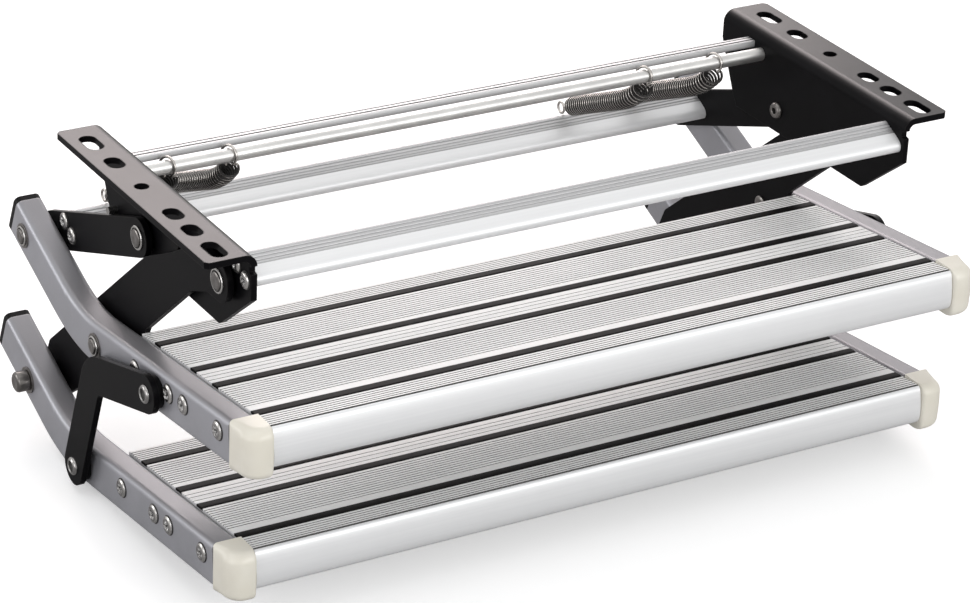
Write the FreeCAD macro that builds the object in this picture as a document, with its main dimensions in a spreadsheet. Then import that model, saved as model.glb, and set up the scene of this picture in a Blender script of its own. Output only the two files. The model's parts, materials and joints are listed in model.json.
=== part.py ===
import FreeCAD, Part
import math
import os
import re
import Sketcher
from FreeCAD import Vector

# Folding double entry step for a caravan doorway, drawn folded in.
# X runs across the step, Y from the doorway edge back under the floor, Z up.
# The origin is midway between the round holes of the two mounting flanges.

doc = FreeCAD.newDocument("entry_step")
sheet = doc.addObject("Spreadsheet::Sheet", "Sizes")

SIZES = {
    # Widths, as distances out from the middle of the step
    "bracket_inner": 284.0,
    "plate_thickness": 5.0,
    "side_gap": 3.0,
    "link_thickness": 5.0,
    "arm_width": 22.0,
    "flange_width": 41.0,
    "tie_gap": 5.0,
    "face_play": 0.2,
    # Mounting brackets
    "flange_rear": 118.0,
    "flange_front": 139.0,
    "bracket_bend": 10.0,
    "hole_inset": 25.0,
    "locating_hole": 11.0,
    "slot_width": 13.2,
    "long_slot": 27.0,
    "short_slot": 20.4,
    "flange_corner": 3.0,
    "rear_long_slot_y": 88.0,
    "rear_short_slot_y": 47.0,
    "front_short_slot_y": -53.5,
    "middle_short_slot_y": -84.3,
    "front_long_slot_y": -120.0,
    "plate_depth": 76.8,
    "plate_front_depth": 37.0,
    "plate_rear_depth": 24.0,
    "relief_depth": 3.5,
    "relief_top": 10.0,
    "relief_height": 6.5,
    # Pivots of the side linkage
    "lever_pivot_y": -102.0,
    "lever_pivot_z": -35.0,
    "link_pivot_y": 33.0,
    "link_pivot_z": -58.2,
    "upper_pivot_y": 55.5,
    "upper_pivot_z": -153.8,
    "step_setback": 24.0,
    "step_drop": 113.2,
    "pivot_radius": 5.0,
    "pivot_play": 0.05,
    "pivot_head_radius": 9.0,
    "pivot_head_height": 2.3,
    "washer_radius": 10.0,
    # Levers and rear links
    "lever_lobe": 16.0,
    "lever_tail": 22.0,
    "link_half_width": 15.6,
    "link_tail": 15.0,
    "stop_pin_along": 50.5,
    "stop_pin_radius": 3.0,
    "buffer_radius": 7.5,
    "stop_gap": 0.3,
    # Bent side arms
    "arm_height": 36.0,
    "arm_wall": 2.0,
    "arm_corner": 5.0,
    "arm_tilt": 6.16,
    "arm_bend": 28.5,
    "arm_bend_radius": 146.0,
    "arm_bend_y": 36.9,
    "arm_rear_leg": 125.5,
    "arm_front": 229.0,
    "link_hole_leg": 105.2,
    "lower_pivot_leg": 73.2,
    "upper_tie_y": -110.1,
    "lower_tie_y": -3.13,
    "plug_depth": 12.0,
    "plug_rim": 5.0,
    "plug_fit": 0.15,
    # Tread planks
    "tread_top": 18.0,
    "tread_rear": 38.0,
    "plank_joint": 148.0,
    "plank_joint_gap": 0.6,
    "nose_front": 256.0,
    "nose_depth": 33.5,
    "nose_radius": 9.0,
    "plank_height": 24.0,
    "plank_wall": 2.0,
    "rib_pitch": 4.0,
    "rib_groove": 1.6,
    "rib_depth": 0.9,
    "strip_width": 11.0,
    "strip_depth": 2.0,
    "strip_proud": 0.5,
    "strip_fit": 0.1,
    # Plastic nose caps
    "cap_proud": 1.5,
    "cap_height": 38.5,
    "cap_width": 22.0,
    "cap_round": 5.0,
    "cap_side_round": 14.0,
    # Cross bars between the brackets and between the rear links
    "bar_width": 28.0,
    "bar_thickness": 10.5,
    "bar_wall": 1.8,
    "bar_tilt": 27.0,
    "front_bar_y": -123.5,
    "front_bar_z": -20.2,
    "moving_bar_along": 133.5,
    "moving_bar_rise": 1.6,
    "bar_nose": 4.8,
    "rear_bar_y": 76.5,
    "rear_bar_z": -13.2,
    "rear_bar_width": 11.0,
    "rear_bar_height": 6.0,
    "spring_rod_y": 61.0,
    "spring_rod_z": -18.5,
    "spring_rod_radius": 5.5,
    # Return springs
    "spring_radius": 9.0,
    "spring_hollow": 6.5,
    "spring_wire": 1.3,
    "hook_radius": 7.9,
    "hook_slack": 0.9,
    "spring_fall": 24.6,
    "spring_level": 18.2,
    "spring_straight_from": 40.0,
    "spring_straight_to": 120.0,
    "spring_curve": 90.0,
    "spring_curve_angle": 23.6,
    "end_loop_radius": 9.0,
    "end_loop_shift": -7.0,
    "right_outer_spring_inset": 46.0,
    "right_inner_spring_inset": 114.0,
    "left_inner_spring_inset": 78.0,
    "left_outer_spring_inset": 26.0,
    # Fasteners
    "screw_head": 7.2,
    "screw_head_height": 2.4,
    "screw_shank": 2.5,
    "rivet_shank": 1.2,
    "stub_radius": 8.5,
    "stub_length": 11.0,
    "pin_head_radius": 8.0,
    "tie_pin_radius": 4.5,
    "tie_head_radius": 7.5,
    "tie_spacer_radius": 12.7,
    "tie_half_width": 15.3,
    "tie_elbow_along": 98.8,
}

for row, (alias, amount) in enumerate(SIZES.items(), start=1):
    sheet.set(f"A{row}", alias)
    sheet.set(f"B{row}", str(amount))
    sheet.setAlias(f"B{row}", alias)
doc.recompute()

NAMES = re.compile(r"\b(" + "|".join(sorted(SIZES, key=len, reverse=True)) + r")\b")


def bound(text):
    """The expression that ties a property to the sheet's sizes."""
    return NAMES.sub(r"Sizes.\1", text)


def number(text):
    """What an expression comes to now, as a plain number."""
    worth = sheet.evalExpression(bound(text))
    return float(getattr(worth, "Value", worth))


# Expressions that several pieces share

PLATE_OUT = "(bracket_inner + plate_thickness)"
HOLE_LINE = "(bracket_inner + hole_inset)"
LINK_IN = f"({PLATE_OUT} + side_gap)"
LINK_OUT = f"({LINK_IN} + link_thickness)"
ARM_IN = f"({LINK_OUT} + side_gap)"
ARM_OUT = f"({ARM_IN} + arm_width)"
TIE_IN = f"({ARM_OUT} + tie_gap)"
TIE_OUT = f"({TIE_IN} + link_thickness)"
TILT_COS = "cos(arm_tilt * 1 deg)"
TILT_SIN = "sin(arm_tilt * 1 deg)"
BEND_COS = "cos(arm_bend * 1 deg)"
BEND_SIN = "sin(arm_bend * 1 deg)"
LOWER_Y = "(upper_pivot_y + step_setback)"
LOWER_Z = "(upper_pivot_z - step_drop)"


def in_step(origin, along, above):
    """A point given in a step's own tilted frame, as Y and Z expressions of the whole."""
    y = f"({origin[0]} + ({along}) * {TILT_COS} + ({above}) * {TILT_SIN})"
    z = f"({origin[1]} - ({along}) * {TILT_SIN} + ({above}) * {TILT_COS})"
    return y, z


def on_rear_leg(origin, distance):
    """A point on the rising rear leg of an arm, measured from the bend's corner."""
    return in_step(origin, f"arm_bend_y + {distance} * {BEND_COS}", f"{distance} * {BEND_SIN}")


UPPER = ("upper_pivot_y", "upper_pivot_z")
LOWER = (LOWER_Y, LOWER_Z)
LEVER_PIVOT = ("lever_pivot_y", "lever_pivot_z")
LINK_PIVOT = ("link_pivot_y", "link_pivot_z")
ARM_LINK_PIN = on_rear_leg(UPPER, "link_hole_leg")
LOWER_PIVOT = on_rear_leg(LOWER, "lower_pivot_leg")
UPPER_TIE_PIN = in_step(UPPER, "upper_tie_y", "0")
LOWER_TIE_PIN = in_step(LOWER, "lower_tie_y", "0")

nodes = {}


def keep(name, thing):
    """Name a finished sub-part, which is written to a file of that name."""
    thing.Label = name
    nodes[name] = thing
    return thing


def plane_of(body, role):
    """One of a body's own three planes."""
    return next(part for part in body.Origin.OriginFeatures if part.Role == role)


def new_body(name):
    return doc.addObject("PartDesign::Body", name)


def new_sketch(body, name, role="YZ_Plane", offset=None):
    """A sketch on a plane of the body, moved off it by the offset expression."""
    sketch = body.newObject("Sketcher::SketchObject", name)
    sketch.AttachmentSupport = [(plane_of(body, role), "")]
    sketch.MapMode = "FlatFace"
    if offset is not None:
        sketch.setExpression("AttachmentOffset.Base.z", bound(offset))
    return sketch


def tie_point(sketch, edge, end, across, up):
    """Fix one end of an edge by its two distances from the sketch's origin."""
    for kind, text in (("DistanceX", across), ("DistanceY", up)):
        index = sketch.addConstraint(Sketcher.Constraint(kind, -1, 1, edge, end, number(text)))
        sketch.setExpression(f"Constraints[{index}]", bound(text))


def add_loop(sketch, corners):
    """A closed loop of straight edges through the corners."""
    spots = [Vector(number(across), number(up), 0) for across, up in corners]
    first = sketch.GeometryCount
    count = len(spots)
    for i in range(count):
        sketch.addGeometry(Part.LineSegment(spots[i], spots[(i + 1) % count]))
    for i in range(count):
        sketch.addConstraint(
            Sketcher.Constraint("Coincident", first + i, 2, first + (i + 1) % count, 1))
    for i, (across, up) in enumerate(corners):
        tie_point(sketch, first + i, 1, across, up)


def add_circle(sketch, across, up, radius):
    """A round hole or edge in the sketch."""
    centre = Vector(number(across), number(up), 0)
    edge = sketch.addGeometry(Part.Circle(centre, Vector(0, 0, 1), number(radius)))
    tie_point(sketch, edge, 3, across, up)
    index = sketch.addConstraint(Sketcher.Constraint("Radius", edge, number(radius)))
    sketch.setExpression(f"Constraints[{index}]", bound(radius))


def add_slot(sketch, across, up, length, width):
    """A slotted hole whose length runs along the sketch's second axis."""
    radius = f"({width}) / 2"
    reach = f"(({length}) - ({width})) / 2"
    left, right = f"{across} - {radius}", f"{across} + {radius}"
    high, low = f"{up} + {reach}", f"{up} - {reach}"
    x, top, bottom, r = number(across), number(high), number(low), number(radius)
    ends = ((left, low), (left, high)), ((right, high), (right, low))
    lines = []
    for start, stop in ends:
        spots = [Vector(number(a), number(b), 0) for a, b in (start, stop)]
        edge = sketch.addGeometry(Part.LineSegment(*spots))
        tie_point(sketch, edge, 1, *start)
        tie_point(sketch, edge, 2, *stop)
        lines.append(edge)
    for middle, height, begin, links in (
            (top, high, 0.0, ((lines[1], 1, 1), (lines[0], 2, 2))),
            (bottom, low, math.pi, ((lines[0], 1, 1), (lines[1], 2, 2)))):
        circle = Part.Circle(Vector(x, middle, 0), Vector(0, 0, 1), r)
        arc = sketch.addGeometry(Part.ArcOfCircle(circle, begin, begin + math.pi))
        for line, line_end, arc_end in links:
            sketch.addConstraint(Sketcher.Constraint("Coincident", line, line_end, arc, arc_end))
        index = sketch.addConstraint(Sketcher.Constraint("DistanceY", -1, 1, arc, 3, middle))
        sketch.setExpression(f"Constraints[{index}]", bound(height))


def pad(body, sketch, length, name="Pad", reverse=False, midplane=False):
    feature = body.newObject("PartDesign::Pad", name)
    feature.Profile = sketch
    feature.setExpression("Length", bound(length))
    feature.Reversed = reverse
    feature.Midplane = midplane
    doc.recompute()
    return feature


def pocket(body, sketch, length, name="Pocket", reverse=False, midplane=False):
    """Cut the sketch out of the body, and make sure that it removed something."""
    before = body.Tip.Shape.Volume
    feature = body.newObject("PartDesign::Pocket", name)
    feature.Profile = sketch
    feature.setExpression("Length", bound(length))
    feature.Reversed = reverse
    feature.Midplane = midplane
    doc.recompute()
    if feature.Shape.Volume > before - 0.1:
        raise RuntimeError(f"{body.Name} {name} cuts nothing")
    return feature


def round_edges(body, radius, picks, name="Fillet"):
    """Round the edges that the test picks out of the body's shape so far."""
    base = body.Tip
    chosen = [f"Edge{i}" for i, edge in enumerate(base.Shape.Edges, start=1) if picks(edge)]
    if not chosen:
        raise RuntimeError(f"{body.Name} {name} finds no edge")
    feature = body.newObject("PartDesign::Fillet", name)
    feature.Base = (base, chosen)
    feature.setExpression("Radius", bound(radius))
    doc.recompute()
    return feature


def across_edge(corners):
    """Picks the edges along X that pass through one of the given corners."""
    spots = [(number(y), number(z)) for y, z in corners]

    def picks(edge):
        box = edge.BoundBox
        if box.YLength > 0.01 or box.ZLength > 0.01 or box.XLength < 0.5:
            return False
        middle = box.Center
        return any(math.hypot(middle.y - y, middle.z - z) < 0.05 for y, z in spots)
    return picks


def side_plate(name, corners, side, inner, thickness, rounds=(), holes=()):
    """A flat plate on one side: side is 1 for right and -1 for left."""
    body = new_body(name)
    start = inner if side > 0 else f"-({inner}) - ({thickness})"
    sketch = new_sketch(body, name + "_outline", offset=start)
    add_loop(sketch, corners)
    for y, z, radius in holes:
        add_circle(sketch, y, z, radius)
    pad(body, sketch, thickness, name + "_plate")
    for i, (radius, which) in enumerate(rounds):
        round_edges(body, radius, across_edge([corners[k] for k in which]), f"{name}_round{i}")
    return keep(name, body)


def turned(name, profile, spot, side=1):
    """A turned piece on an axis along X at the spot: the profile is (x, radius) corners."""
    body = new_body(name)
    sketch = new_sketch(body, name + "_profile", "XY_Plane")
    flip = "" if side > 0 else "-1 * "
    add_loop(sketch, [(f"{flip}({x})", r) for x, r in profile])
    feature = body.newObject("PartDesign::Revolution", name + "_turn")
    feature.Profile = sketch
    feature.ReferenceAxis = (sketch, ["H_Axis"])
    feature.Angle = 360
    body.setExpression("Placement.Base.y", bound(spot[0]))
    body.setExpression("Placement.Base.z", bound(spot[1]))
    doc.recompute()
    return body


def pin_profile(*steps):
    """A stepped solid pin: each step is (x from, x to, radius), from the inner end outwards."""
    corners = [(steps[0][0], "0")]
    for start, stop, radius in steps:
        corners += [(start, radius), (stop, radius)]
    return corners + [(steps[-1][1], "0")]


def ring_profile(start, stop, bore, radius):
    return [(start, bore), (start, radius), (stop, radius), (stop, bore)]


def group(name, things):
    """Several separate solids of one kind, kept as one node."""
    compound = doc.addObject("Part::Compound", name)
    compound.Links = things
    doc.recompute()
    return keep(name, compound)


def both_sides(name, profile, spots):
    """The same turned piece on the right and on the left, at each spot."""
    things = []
    for i, spot in enumerate(spots):
        for side, word in ((1, "right"), (-1, "left")):
            things.append(turned(f"{name}_{word}{i}", profile, spot, side))
    return group(name, things)


def mirrored(name, source):
    """The left-hand twin of a right-hand piece."""
    twin = doc.addObject("Part::Mirroring", name)
    twin.Source = source
    twin.Normal = Vector(1, 0, 0)
    doc.recompute()
    return keep(name, twin)


def place_in_step(thing, origin):
    """Set a piece that is drawn level into a step's tilted frame."""
    thing.setExpression("Placement.Base.y", bound(origin[0]))
    thing.setExpression("Placement.Base.z", bound(origin[1]))
    thing.Placement.Rotation = FreeCAD.Rotation(Vector(1, 0, 0), -1)
    thing.setExpression("Placement.Rotation.Angle", bound("-1 * arm_tilt"))


# Places of the cross bars and of their screws

FRONT_BAR = ("front_bar_y", "front_bar_z")
REAR_BAR = ("rear_bar_y", "rear_bar_z")
SPRING_ROD = ("spring_rod_y", "spring_rod_z")
BAR_GROOVES = ("bar_width * 0.06", "bar_width * 0.18", "bar_width * 0.3")


def beside_bar(spot, offset):
    """A point on a tilted bar's width, the offset away from its centre."""
    return (f"({spot[0]} + ({offset}) * cos(bar_tilt * 1 deg))",
            f"({spot[1]} + ({offset}) * sin(bar_tilt * 1 deg))")


FRONT_BAR_SCREWS = (beside_bar(FRONT_BAR, "bar_width * 0.28"), beside_bar(FRONT_BAR, "bar_width * -0.28"))


# Mounting brackets

def make_right_bracket():
    """A bent plate: a slotted flange on top and a side plate that carries the linkage."""
    body = new_body("right_bracket")
    plate = new_sketch(body, "bracket_side", offset="bracket_inner")
    front, rear = "-1 * flange_front", "flange_rear"
    add_loop(plate, [
        (front, "0"), (front, "-1 * relief_top"),
        (f"{front} + relief_depth", "-1 * relief_top - 1"),
        (f"{front} + relief_depth", "-1 * relief_top - relief_height + 1"),
        (front, "-1 * relief_top - relief_height"),
        (front, "-1 * plate_front_depth"),
        (f"{front} + 49.5", "-1 * plate_depth"), (f"{rear} - 27", "-1 * plate_depth"),
        (f"{rear} - 21", "-1 * plate_depth + 9.5"), (f"{rear} - 8.5", "-1 * plate_depth + 35"),
        (rear, "-1 * plate_rear_depth"), (rear, "0")])
    for y, z in (LEVER_PIVOT, LINK_PIVOT):
        add_circle(plate, y, z, "pivot_radius")
    for y, z in FRONT_BAR_SCREWS + (SPRING_ROD,):
        add_circle(plate, y, z, "screw_shank")
    add_circle(plate, *REAR_BAR, "rivet_shank")
    pad(body, plate, "plate_thickness", "bracket_web")
    flange = new_sketch(body, "bracket_top", "XY_Plane")
    outer = "bracket_inner + flange_width"
    corner = "flange_corner"
    add_loop(flange, [
        ("bracket_inner", front), (f"{outer} - {corner}", front), (outer, f"{front} + {corner}"),
        (outer, f"{rear} - {corner}"), (f"{outer} - {corner}", rear), ("bracket_inner", rear)])
    add_circle(flange, HOLE_LINE, "0", "locating_hole / 2")
    for y, length in (("rear_long_slot_y", "long_slot"), ("rear_short_slot_y", "short_slot"),
                      ("front_short_slot_y", "short_slot"),
                      ("middle_short_slot_y", "short_slot"),
                      ("front_long_slot_y", "long_slot")):
        add_slot(flange, HOLE_LINE, y, length, "slot_width")
    pad(body, flange, "plate_thickness", "bracket_flange", reverse=True)

    def bend_edge(x, z):
        def picks(edge):
            box = edge.BoundBox
            return (box.YLength > 100 and box.XLength < 0.01 and box.ZLength < 0.01
                    and abs(box.Center.x - number(x)) < 0.05
                    and abs(box.Center.z - number(z)) < 0.05)
        return picks
    round_edges(body, "bracket_bend - plate_thickness",
                bend_edge(PLATE_OUT, "-1 * plate_thickness"), "bend_inside")
    round_edges(body, "bracket_bend", bend_edge("bracket_inner", "0"), "bend_outside")
    return keep("right_bracket", body)


right_bracket = make_right_bracket()
mirrored("left_bracket", right_bracket)


# Cross bars, all drawn level about their own centre and then tilted

def make_bar(name, half, width, height, spot, tilt, grooves, front_round, rear_round, wall):
    """A hollow extruded bar with fine grooves along its top."""
    body = new_body(name)
    sketch = new_sketch(body, name + "_section")
    w, t = f"({width}) / 2", f"({height}) / 2"
    corners = [(f"-1 * {w}", f"-1 * {t}"), (w, f"-1 * {t}"), (w, t), (f"-1 * {w}", t)]
    add_loop(sketch, corners)
    iw, it = f"({w} - {wall} - {rear_round} / 2)", f"({t} - {wall})"
    add_loop(sketch, [(f"-1 * {iw}", f"-1 * {it}"), (iw, f"-1 * {it}"), (iw, it),
                      (f"-1 * {iw}", it)])
    pad(body, sketch, f"2 * ({half})", name + "_bar", midplane=True)
    round_edges(body, front_round, across_edge([corners[0], corners[3]]), name + "_front")
    round_edges(body, rear_round, across_edge([corners[1], corners[2]]), name + "_rear")
    for i, place in enumerate(grooves):
        cut = new_sketch(body, f"{name}_groove{i}")
        add_loop(cut, [(f"{place} - 0.5", f"{t} - 0.8"), (f"{place} + 0.5", f"{t} - 0.8"),
                       (f"{place} + 0.5", f"{t} + 1"), (f"{place} - 0.5", f"{t} + 1")])
        pocket(body, cut, f"2 * ({half}) + 2", f"{name}_cut{i}", midplane=True)
    body.setExpression("Placement.Base.y", bound(spot[0]))
    body.setExpression("Placement.Base.z", bound(spot[1]))
    if tilt is not None:
        body.Placement.Rotation = FreeCAD.Rotation(Vector(1, 0, 0), 1)
        body.setExpression("Placement.Rotation.Angle", bound(tilt))
    doc.recompute()
    return body


keep("front_crossbar", make_bar(
    "front_crossbar", "bracket_inner", "bar_width", "bar_thickness", FRONT_BAR, "bar_tilt",
    BAR_GROOVES, "bar_nose", "3", "bar_wall"))
keep("rear_crossbar", make_bar(
    "rear_crossbar", "bracket_inner", "rear_bar_width", "rear_bar_height", REAR_BAR, None,
    ("-1 * rear_bar_width / 4", "0", "rear_bar_width / 4"), "1", "1", "1.5"))
keep("spring_rod", turned("spring_rod", [
    ("-1 * bracket_inner", "screw_shank"), ("-1 * bracket_inner", "spring_rod_radius"),
    ("bracket_inner", "spring_rod_radius"), ("bracket_inner", "screw_shank")], SPRING_ROD))

# Where the rear link points when folded in, from its pivot to its pin in the arm
LINK_RUN = f"({ARM_LINK_PIN[0]} - link_pivot_y)"
LINK_RISE = f"({ARM_LINK_PIN[1]} - link_pivot_z)"
LINK_LENGTH = f"sqrt({LINK_RUN} * {LINK_RUN} + {LINK_RISE} * {LINK_RISE})"
LINK_COS = f"({LINK_RUN} / {LINK_LENGTH})"
LINK_SIN = f"({LINK_RISE} / {LINK_LENGTH})"


def along_link(along, above):
    """A point given along the rear link and square to it."""
    y = f"(link_pivot_y + ({along}) * {LINK_COS} - ({above}) * {LINK_SIN})"
    z = f"(link_pivot_z + ({along}) * {LINK_SIN} + ({above}) * {LINK_COS})"
    return y, z


MOVING_BAR = along_link("moving_bar_along", "moving_bar_rise")
MOVING_BAR_SCREWS = (beside_bar(MOVING_BAR, "bar_width * 0.28"),
                     beside_bar(MOVING_BAR, "bar_width * -0.28"))


# Levers: wide plates from the bracket past the upper arm down to the lower arm

def make_lever(name, side):
    y2, z2 = LEVER_PIVOT
    ya, za = UPPER
    yb, zb = LOWER_PIVOT
    corners = [
        (f"{y2} - lever_lobe", f"{z2} - lever_lobe"),
        (f"{y2} - lever_lobe", f"{z2} + lever_lobe"),
        (f"{y2} + 32", f"{z2} + lever_lobe"),
        (f"{y2} + 78", f"{z2} - 11"),
        (f"{y2} + 122", f"{z2} - 33.4"),
        (f"{yb} + 14", f"{zb} + lever_tail + 2.5"),
        (f"{yb} + lever_tail + 4", f"{zb} - 2"),
        (f"{yb} - 2", f"{zb} - lever_tail"),
        (f"{ya} - 4", f"{za} - 17"),
        (f"{ya} - 22", f"{za} - 2"),
        (f"{ya} - 37.5", f"{za} + 25.7"),
        (f"{ya} - 113", f"{za} + 91"),
        (f"{y2} + lever_lobe", f"{z2} - lever_lobe"),
    ]
    hole = "pivot_radius + pivot_play"
    return side_plate(
        name, corners, side, LINK_IN, "link_thickness",
        rounds=(("lever_lobe * 0.9", (0, 1)), ("12", (2,)), ("14", (6, 7)), ("8", (5, 8, 9))),
        holes=((y2, z2, hole), (ya, za, hole), (yb, zb, hole)))


for word, side in (("left", -1), ("right", 1)):
    make_lever(f"{word}_lever", side)


# Rear links, with the moving cross bar between them

def make_rear_link(name, side):
    half = "link_half_width"
    tail = f"{LINK_LENGTH} + link_tail"
    corners = [along_link(f"-1 * {half}", f"-1 * {half}"), along_link(tail, f"-1 * {half}"),
               along_link(tail, half), along_link(f"-1 * {half}", half)]
    pin_hole = along_link(LINK_LENGTH, "0")
    return side_plate(
        name, corners, side, LINK_IN, "link_thickness",
        rounds=((f"{half} * 0.98", (0, 3)), ("link_tail * 0.95", (1, 2))),
        holes=((*LINK_PIVOT, "pivot_radius + pivot_play"), (*pin_hole, "pivot_radius"),
               *((*spot, "screw_shank") for spot in MOVING_BAR_SCREWS)))


for word, side in (("left", -1), ("right", 1)):
    make_rear_link(f"{word}_rear_link", side)

moving_bar = make_bar("moving_bar_body", LINK_IN, "bar_width", "bar_thickness", MOVING_BAR,
                      "bar_tilt", BAR_GROOVES, "bar_nose", "3", "bar_wall")

# Return springs: a bowed coil with a hook round the rod, and a loop in the moving bar

FALL_COS = "cos(spring_fall * 1 deg)"
FALL_SIN = "sin(spring_fall * 1 deg)"
LOOP_ALONG = "(spring_straight_to + end_loop_radius + spring_wire + stop_gap)"
LOOP_Y = f"(spring_rod_y + {LOOP_ALONG} * {FALL_COS} - spring_level * {FALL_SIN})"
LOOP_Z = f"(spring_rod_z - {LOOP_ALONG} * {FALL_SIN} - spring_level * {FALL_COS})"
HOOK = (f"(spring_rod_y + hook_slack * {FALL_COS})", f"(spring_rod_z - hook_slack * {FALL_SIN})")


def wire_ring(name, x, y, z, radius, wire):
    """A ring of wire whose axis lies along X."""
    ring = doc.addObject("Part::Torus", name)
    ring.Placement.Rotation = FreeCAD.Rotation(Vector(0, 1, 0), 90)
    for place, text in (("Placement.Base.x", x), ("Placement.Base.y", y),
                        ("Placement.Base.z", z), ("Radius1", radius), ("Radius2", wire)):
        ring.setExpression(place, bound(text))
    doc.recompute()
    return ring


def make_spring(word, x):
    """A close-wound coil, drawn as a hollow tube that bends up to its hook round the rod."""
    coil = new_body(f"{word}_coil")
    path = new_sketch(coil, f"{word}_path", offset=x)
    level = "-1 * spring_level"
    tail = ("spring_straight_to", level)
    bend = ("spring_straight_from", level)
    head = ("spring_straight_from - spring_curve * sin(spring_curve_angle * 1 deg)",
            f"{level} + spring_curve * (1 - cos(spring_curve_angle * 1 deg))")
    spots = [Vector(number(a), number(b), 0) for a, b in (tail, bend)]
    radius = number("spring_curve")
    centre = Vector(spots[1].x, spots[1].y + radius, 0)
    path.addGeometry(Part.LineSegment(*spots))
    path.addGeometry(Part.ArcOfCircle(
        Part.Circle(centre, Vector(0, 0, 1), radius),
        -math.pi / 2 - math.radians(number("spring_curve_angle")), -math.pi / 2))
    path.addConstraint(Sketcher.Constraint("Coincident", 0, 2, 1, 2))
    for edge, tip, spot in ((0, 1, tail), (0, 2, bend), (1, 1, head)):
        tie_point(path, edge, tip, *spot)
    index = path.addConstraint(Sketcher.Constraint("Radius", 1, radius))
    path.setExpression(f"Constraints[{index}]", bound("spring_curve"))
    section = new_sketch(coil, f"{word}_section", "XZ_Plane", offset="-1 * spring_straight_to")
    for rim in ("spring_radius", "spring_hollow"):
        add_circle(section, x, level, rim)
    pipe = coil.newObject("PartDesign::AdditivePipe", f"{word}_tube")
    pipe.Profile = section
    pipe.Spine = path
    coil.setExpression("Placement.Base.y", "Sizes.spring_rod_y")
    coil.setExpression("Placement.Base.z", "Sizes.spring_rod_z")
    coil.Placement.Rotation = FreeCAD.Rotation(Vector(1, 0, 0), -1)
    coil.setExpression("Placement.Rotation.Angle", bound("-1 * spring_fall"))
    hook = wire_ring(f"{word}_hook", x, *HOOK, "hook_radius", "spring_wire")
    spring = doc.addObject("Part::MultiFuse", f"{word}_spring")
    spring.Shapes = [coil, hook]
    doc.recompute()
    return keep(f"{word}_spring", spring)


SPRINGS = {
    "left_outer": "(left_outer_spring_inset - bracket_inner)",
    "left_inner": "(left_inner_spring_inset - bracket_inner)",
    "right_inner": "(bracket_inner - right_inner_spring_inset)",
    "right_outer": "(bracket_inner - right_outer_spring_inset)"}
for word, place in SPRINGS.items():
    make_spring(word, place)
group("spring_end_loops", [
    wire_ring(f"{word}_loop", f"{place} + end_loop_shift", LOOP_Y, LOOP_Z, "end_loop_radius",
              "spring_wire") for word, place in SPRINGS.items()])
loop_ways = doc.addObject("Part::Compound", "loop_ways")
loop_ways.Links = [
    wire_ring(f"{word}_way", f"{place} + end_loop_shift", LOOP_Y, LOOP_Z, "end_loop_radius",
              "spring_wire + stop_gap") for word, place in SPRINGS.items()]
bar_cut = doc.addObject("Part::Cut", "moving_crossbar")
bar_cut.Base = moving_bar
bar_cut.Tool = loop_ways
doc.recompute()
keep("moving_crossbar", bar_cut)


# The two steps: each is a pair of bent arms with two planks between them

def make_right_arm(name, origin, pin_holes):
    """A bent rectangular tube: a level front leg, a wide bend and a rising rear leg."""
    body = new_body(name)
    path = new_sketch(body, name + "_path")
    half_bend = "(arm_bend / 2 * 1 deg)"
    start = ("-1 * arm_front", "0")
    first = (f"arm_bend_y - arm_bend_radius * tan{half_bend}", "0")
    second = (f"arm_bend_y + arm_bend_radius * tan{half_bend} * {BEND_COS}",
              f"arm_bend_radius * tan{half_bend} * {BEND_SIN}")
    end = (f"arm_bend_y + arm_rear_leg * {BEND_COS}", f"arm_rear_leg * {BEND_SIN}")
    spots = [Vector(number(a), number(b), 0) for a, b in (start, first, second, end)]
    bend = number("arm_bend_radius")
    centre = Vector(spots[1].x, bend, 0)
    turn = math.radians(number("arm_bend"))
    path.addGeometry(Part.LineSegment(spots[0], spots[1]))
    path.addGeometry(Part.ArcOfCircle(Part.Circle(centre, Vector(0, 0, 1), bend),
                                      -math.pi / 2, -math.pi / 2 + turn))
    path.addGeometry(Part.LineSegment(spots[2], spots[3]))
    path.addConstraint(Sketcher.Constraint("Coincident", 0, 2, 1, 1))
    path.addConstraint(Sketcher.Constraint("Coincident", 1, 2, 2, 1))
    for edge, tip, spot in ((0, 1, start), (0, 2, first), (2, 1, second), (2, 2, end)):
        tie_point(path, edge, tip, *spot)
    index = path.addConstraint(Sketcher.Constraint("Radius", 1, bend))
    path.setExpression(f"Constraints[{index}]", bound("arm_bend_radius"))
    path.setExpression("AttachmentOffset.Base.z", bound(f"{ARM_IN} + arm_width / 2"))
    section = new_sketch(body, name + "_section", "XZ_Plane", offset="arm_front")
    for inset in ("0", "arm_wall"):
        left, right = f"{ARM_IN} + {inset}", f"{ARM_OUT} - {inset}"
        low, high = f"-1 * arm_height / 2 + {inset}", f"arm_height / 2 - {inset}"
        add_loop(section, [(left, low), (right, low), (right, high), (left, high)])
    pipe = body.newObject("PartDesign::AdditivePipe", name + "_tube")
    pipe.Profile = section
    pipe.Spine = path
    doc.recompute()

    def long_corner(edge):
        box = edge.BoundBox
        outside = abs(box.Center.x - number(ARM_IN)) < 0.01
        outside = outside or abs(box.Center.x - number(ARM_OUT)) < 0.01
        return box.XLength < 0.01 and box.YLength > 30 and outside
    round_edges(body, "arm_corner", long_corner, name + "_corners")
    drill = new_sketch(body, name + "_holes", offset=f"{ARM_IN} - 1")
    for (along, above), radius in pin_holes:
        add_circle(drill, along, above, radius)
    pocket(body, drill, "arm_width + 2", name + "_drill", reverse=True)
    place_in_step(body, origin)
    doc.recompute()
    return keep(name, body)


REAR_LEG_HOLE = {
    leg: (f"arm_bend_y + {leg} * {BEND_COS}", f"{leg} * {BEND_SIN}")
    for leg in ("link_hole_leg", "lower_pivot_leg")}
PLANK_SCREWS = ("-1 * tread_rear - 35", "-1 * plank_joint + 18", "-1 * plank_joint - 7.3",
                "-1 * plank_joint - 64")
SCREW_LEVEL = "tread_top - 13"


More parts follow.
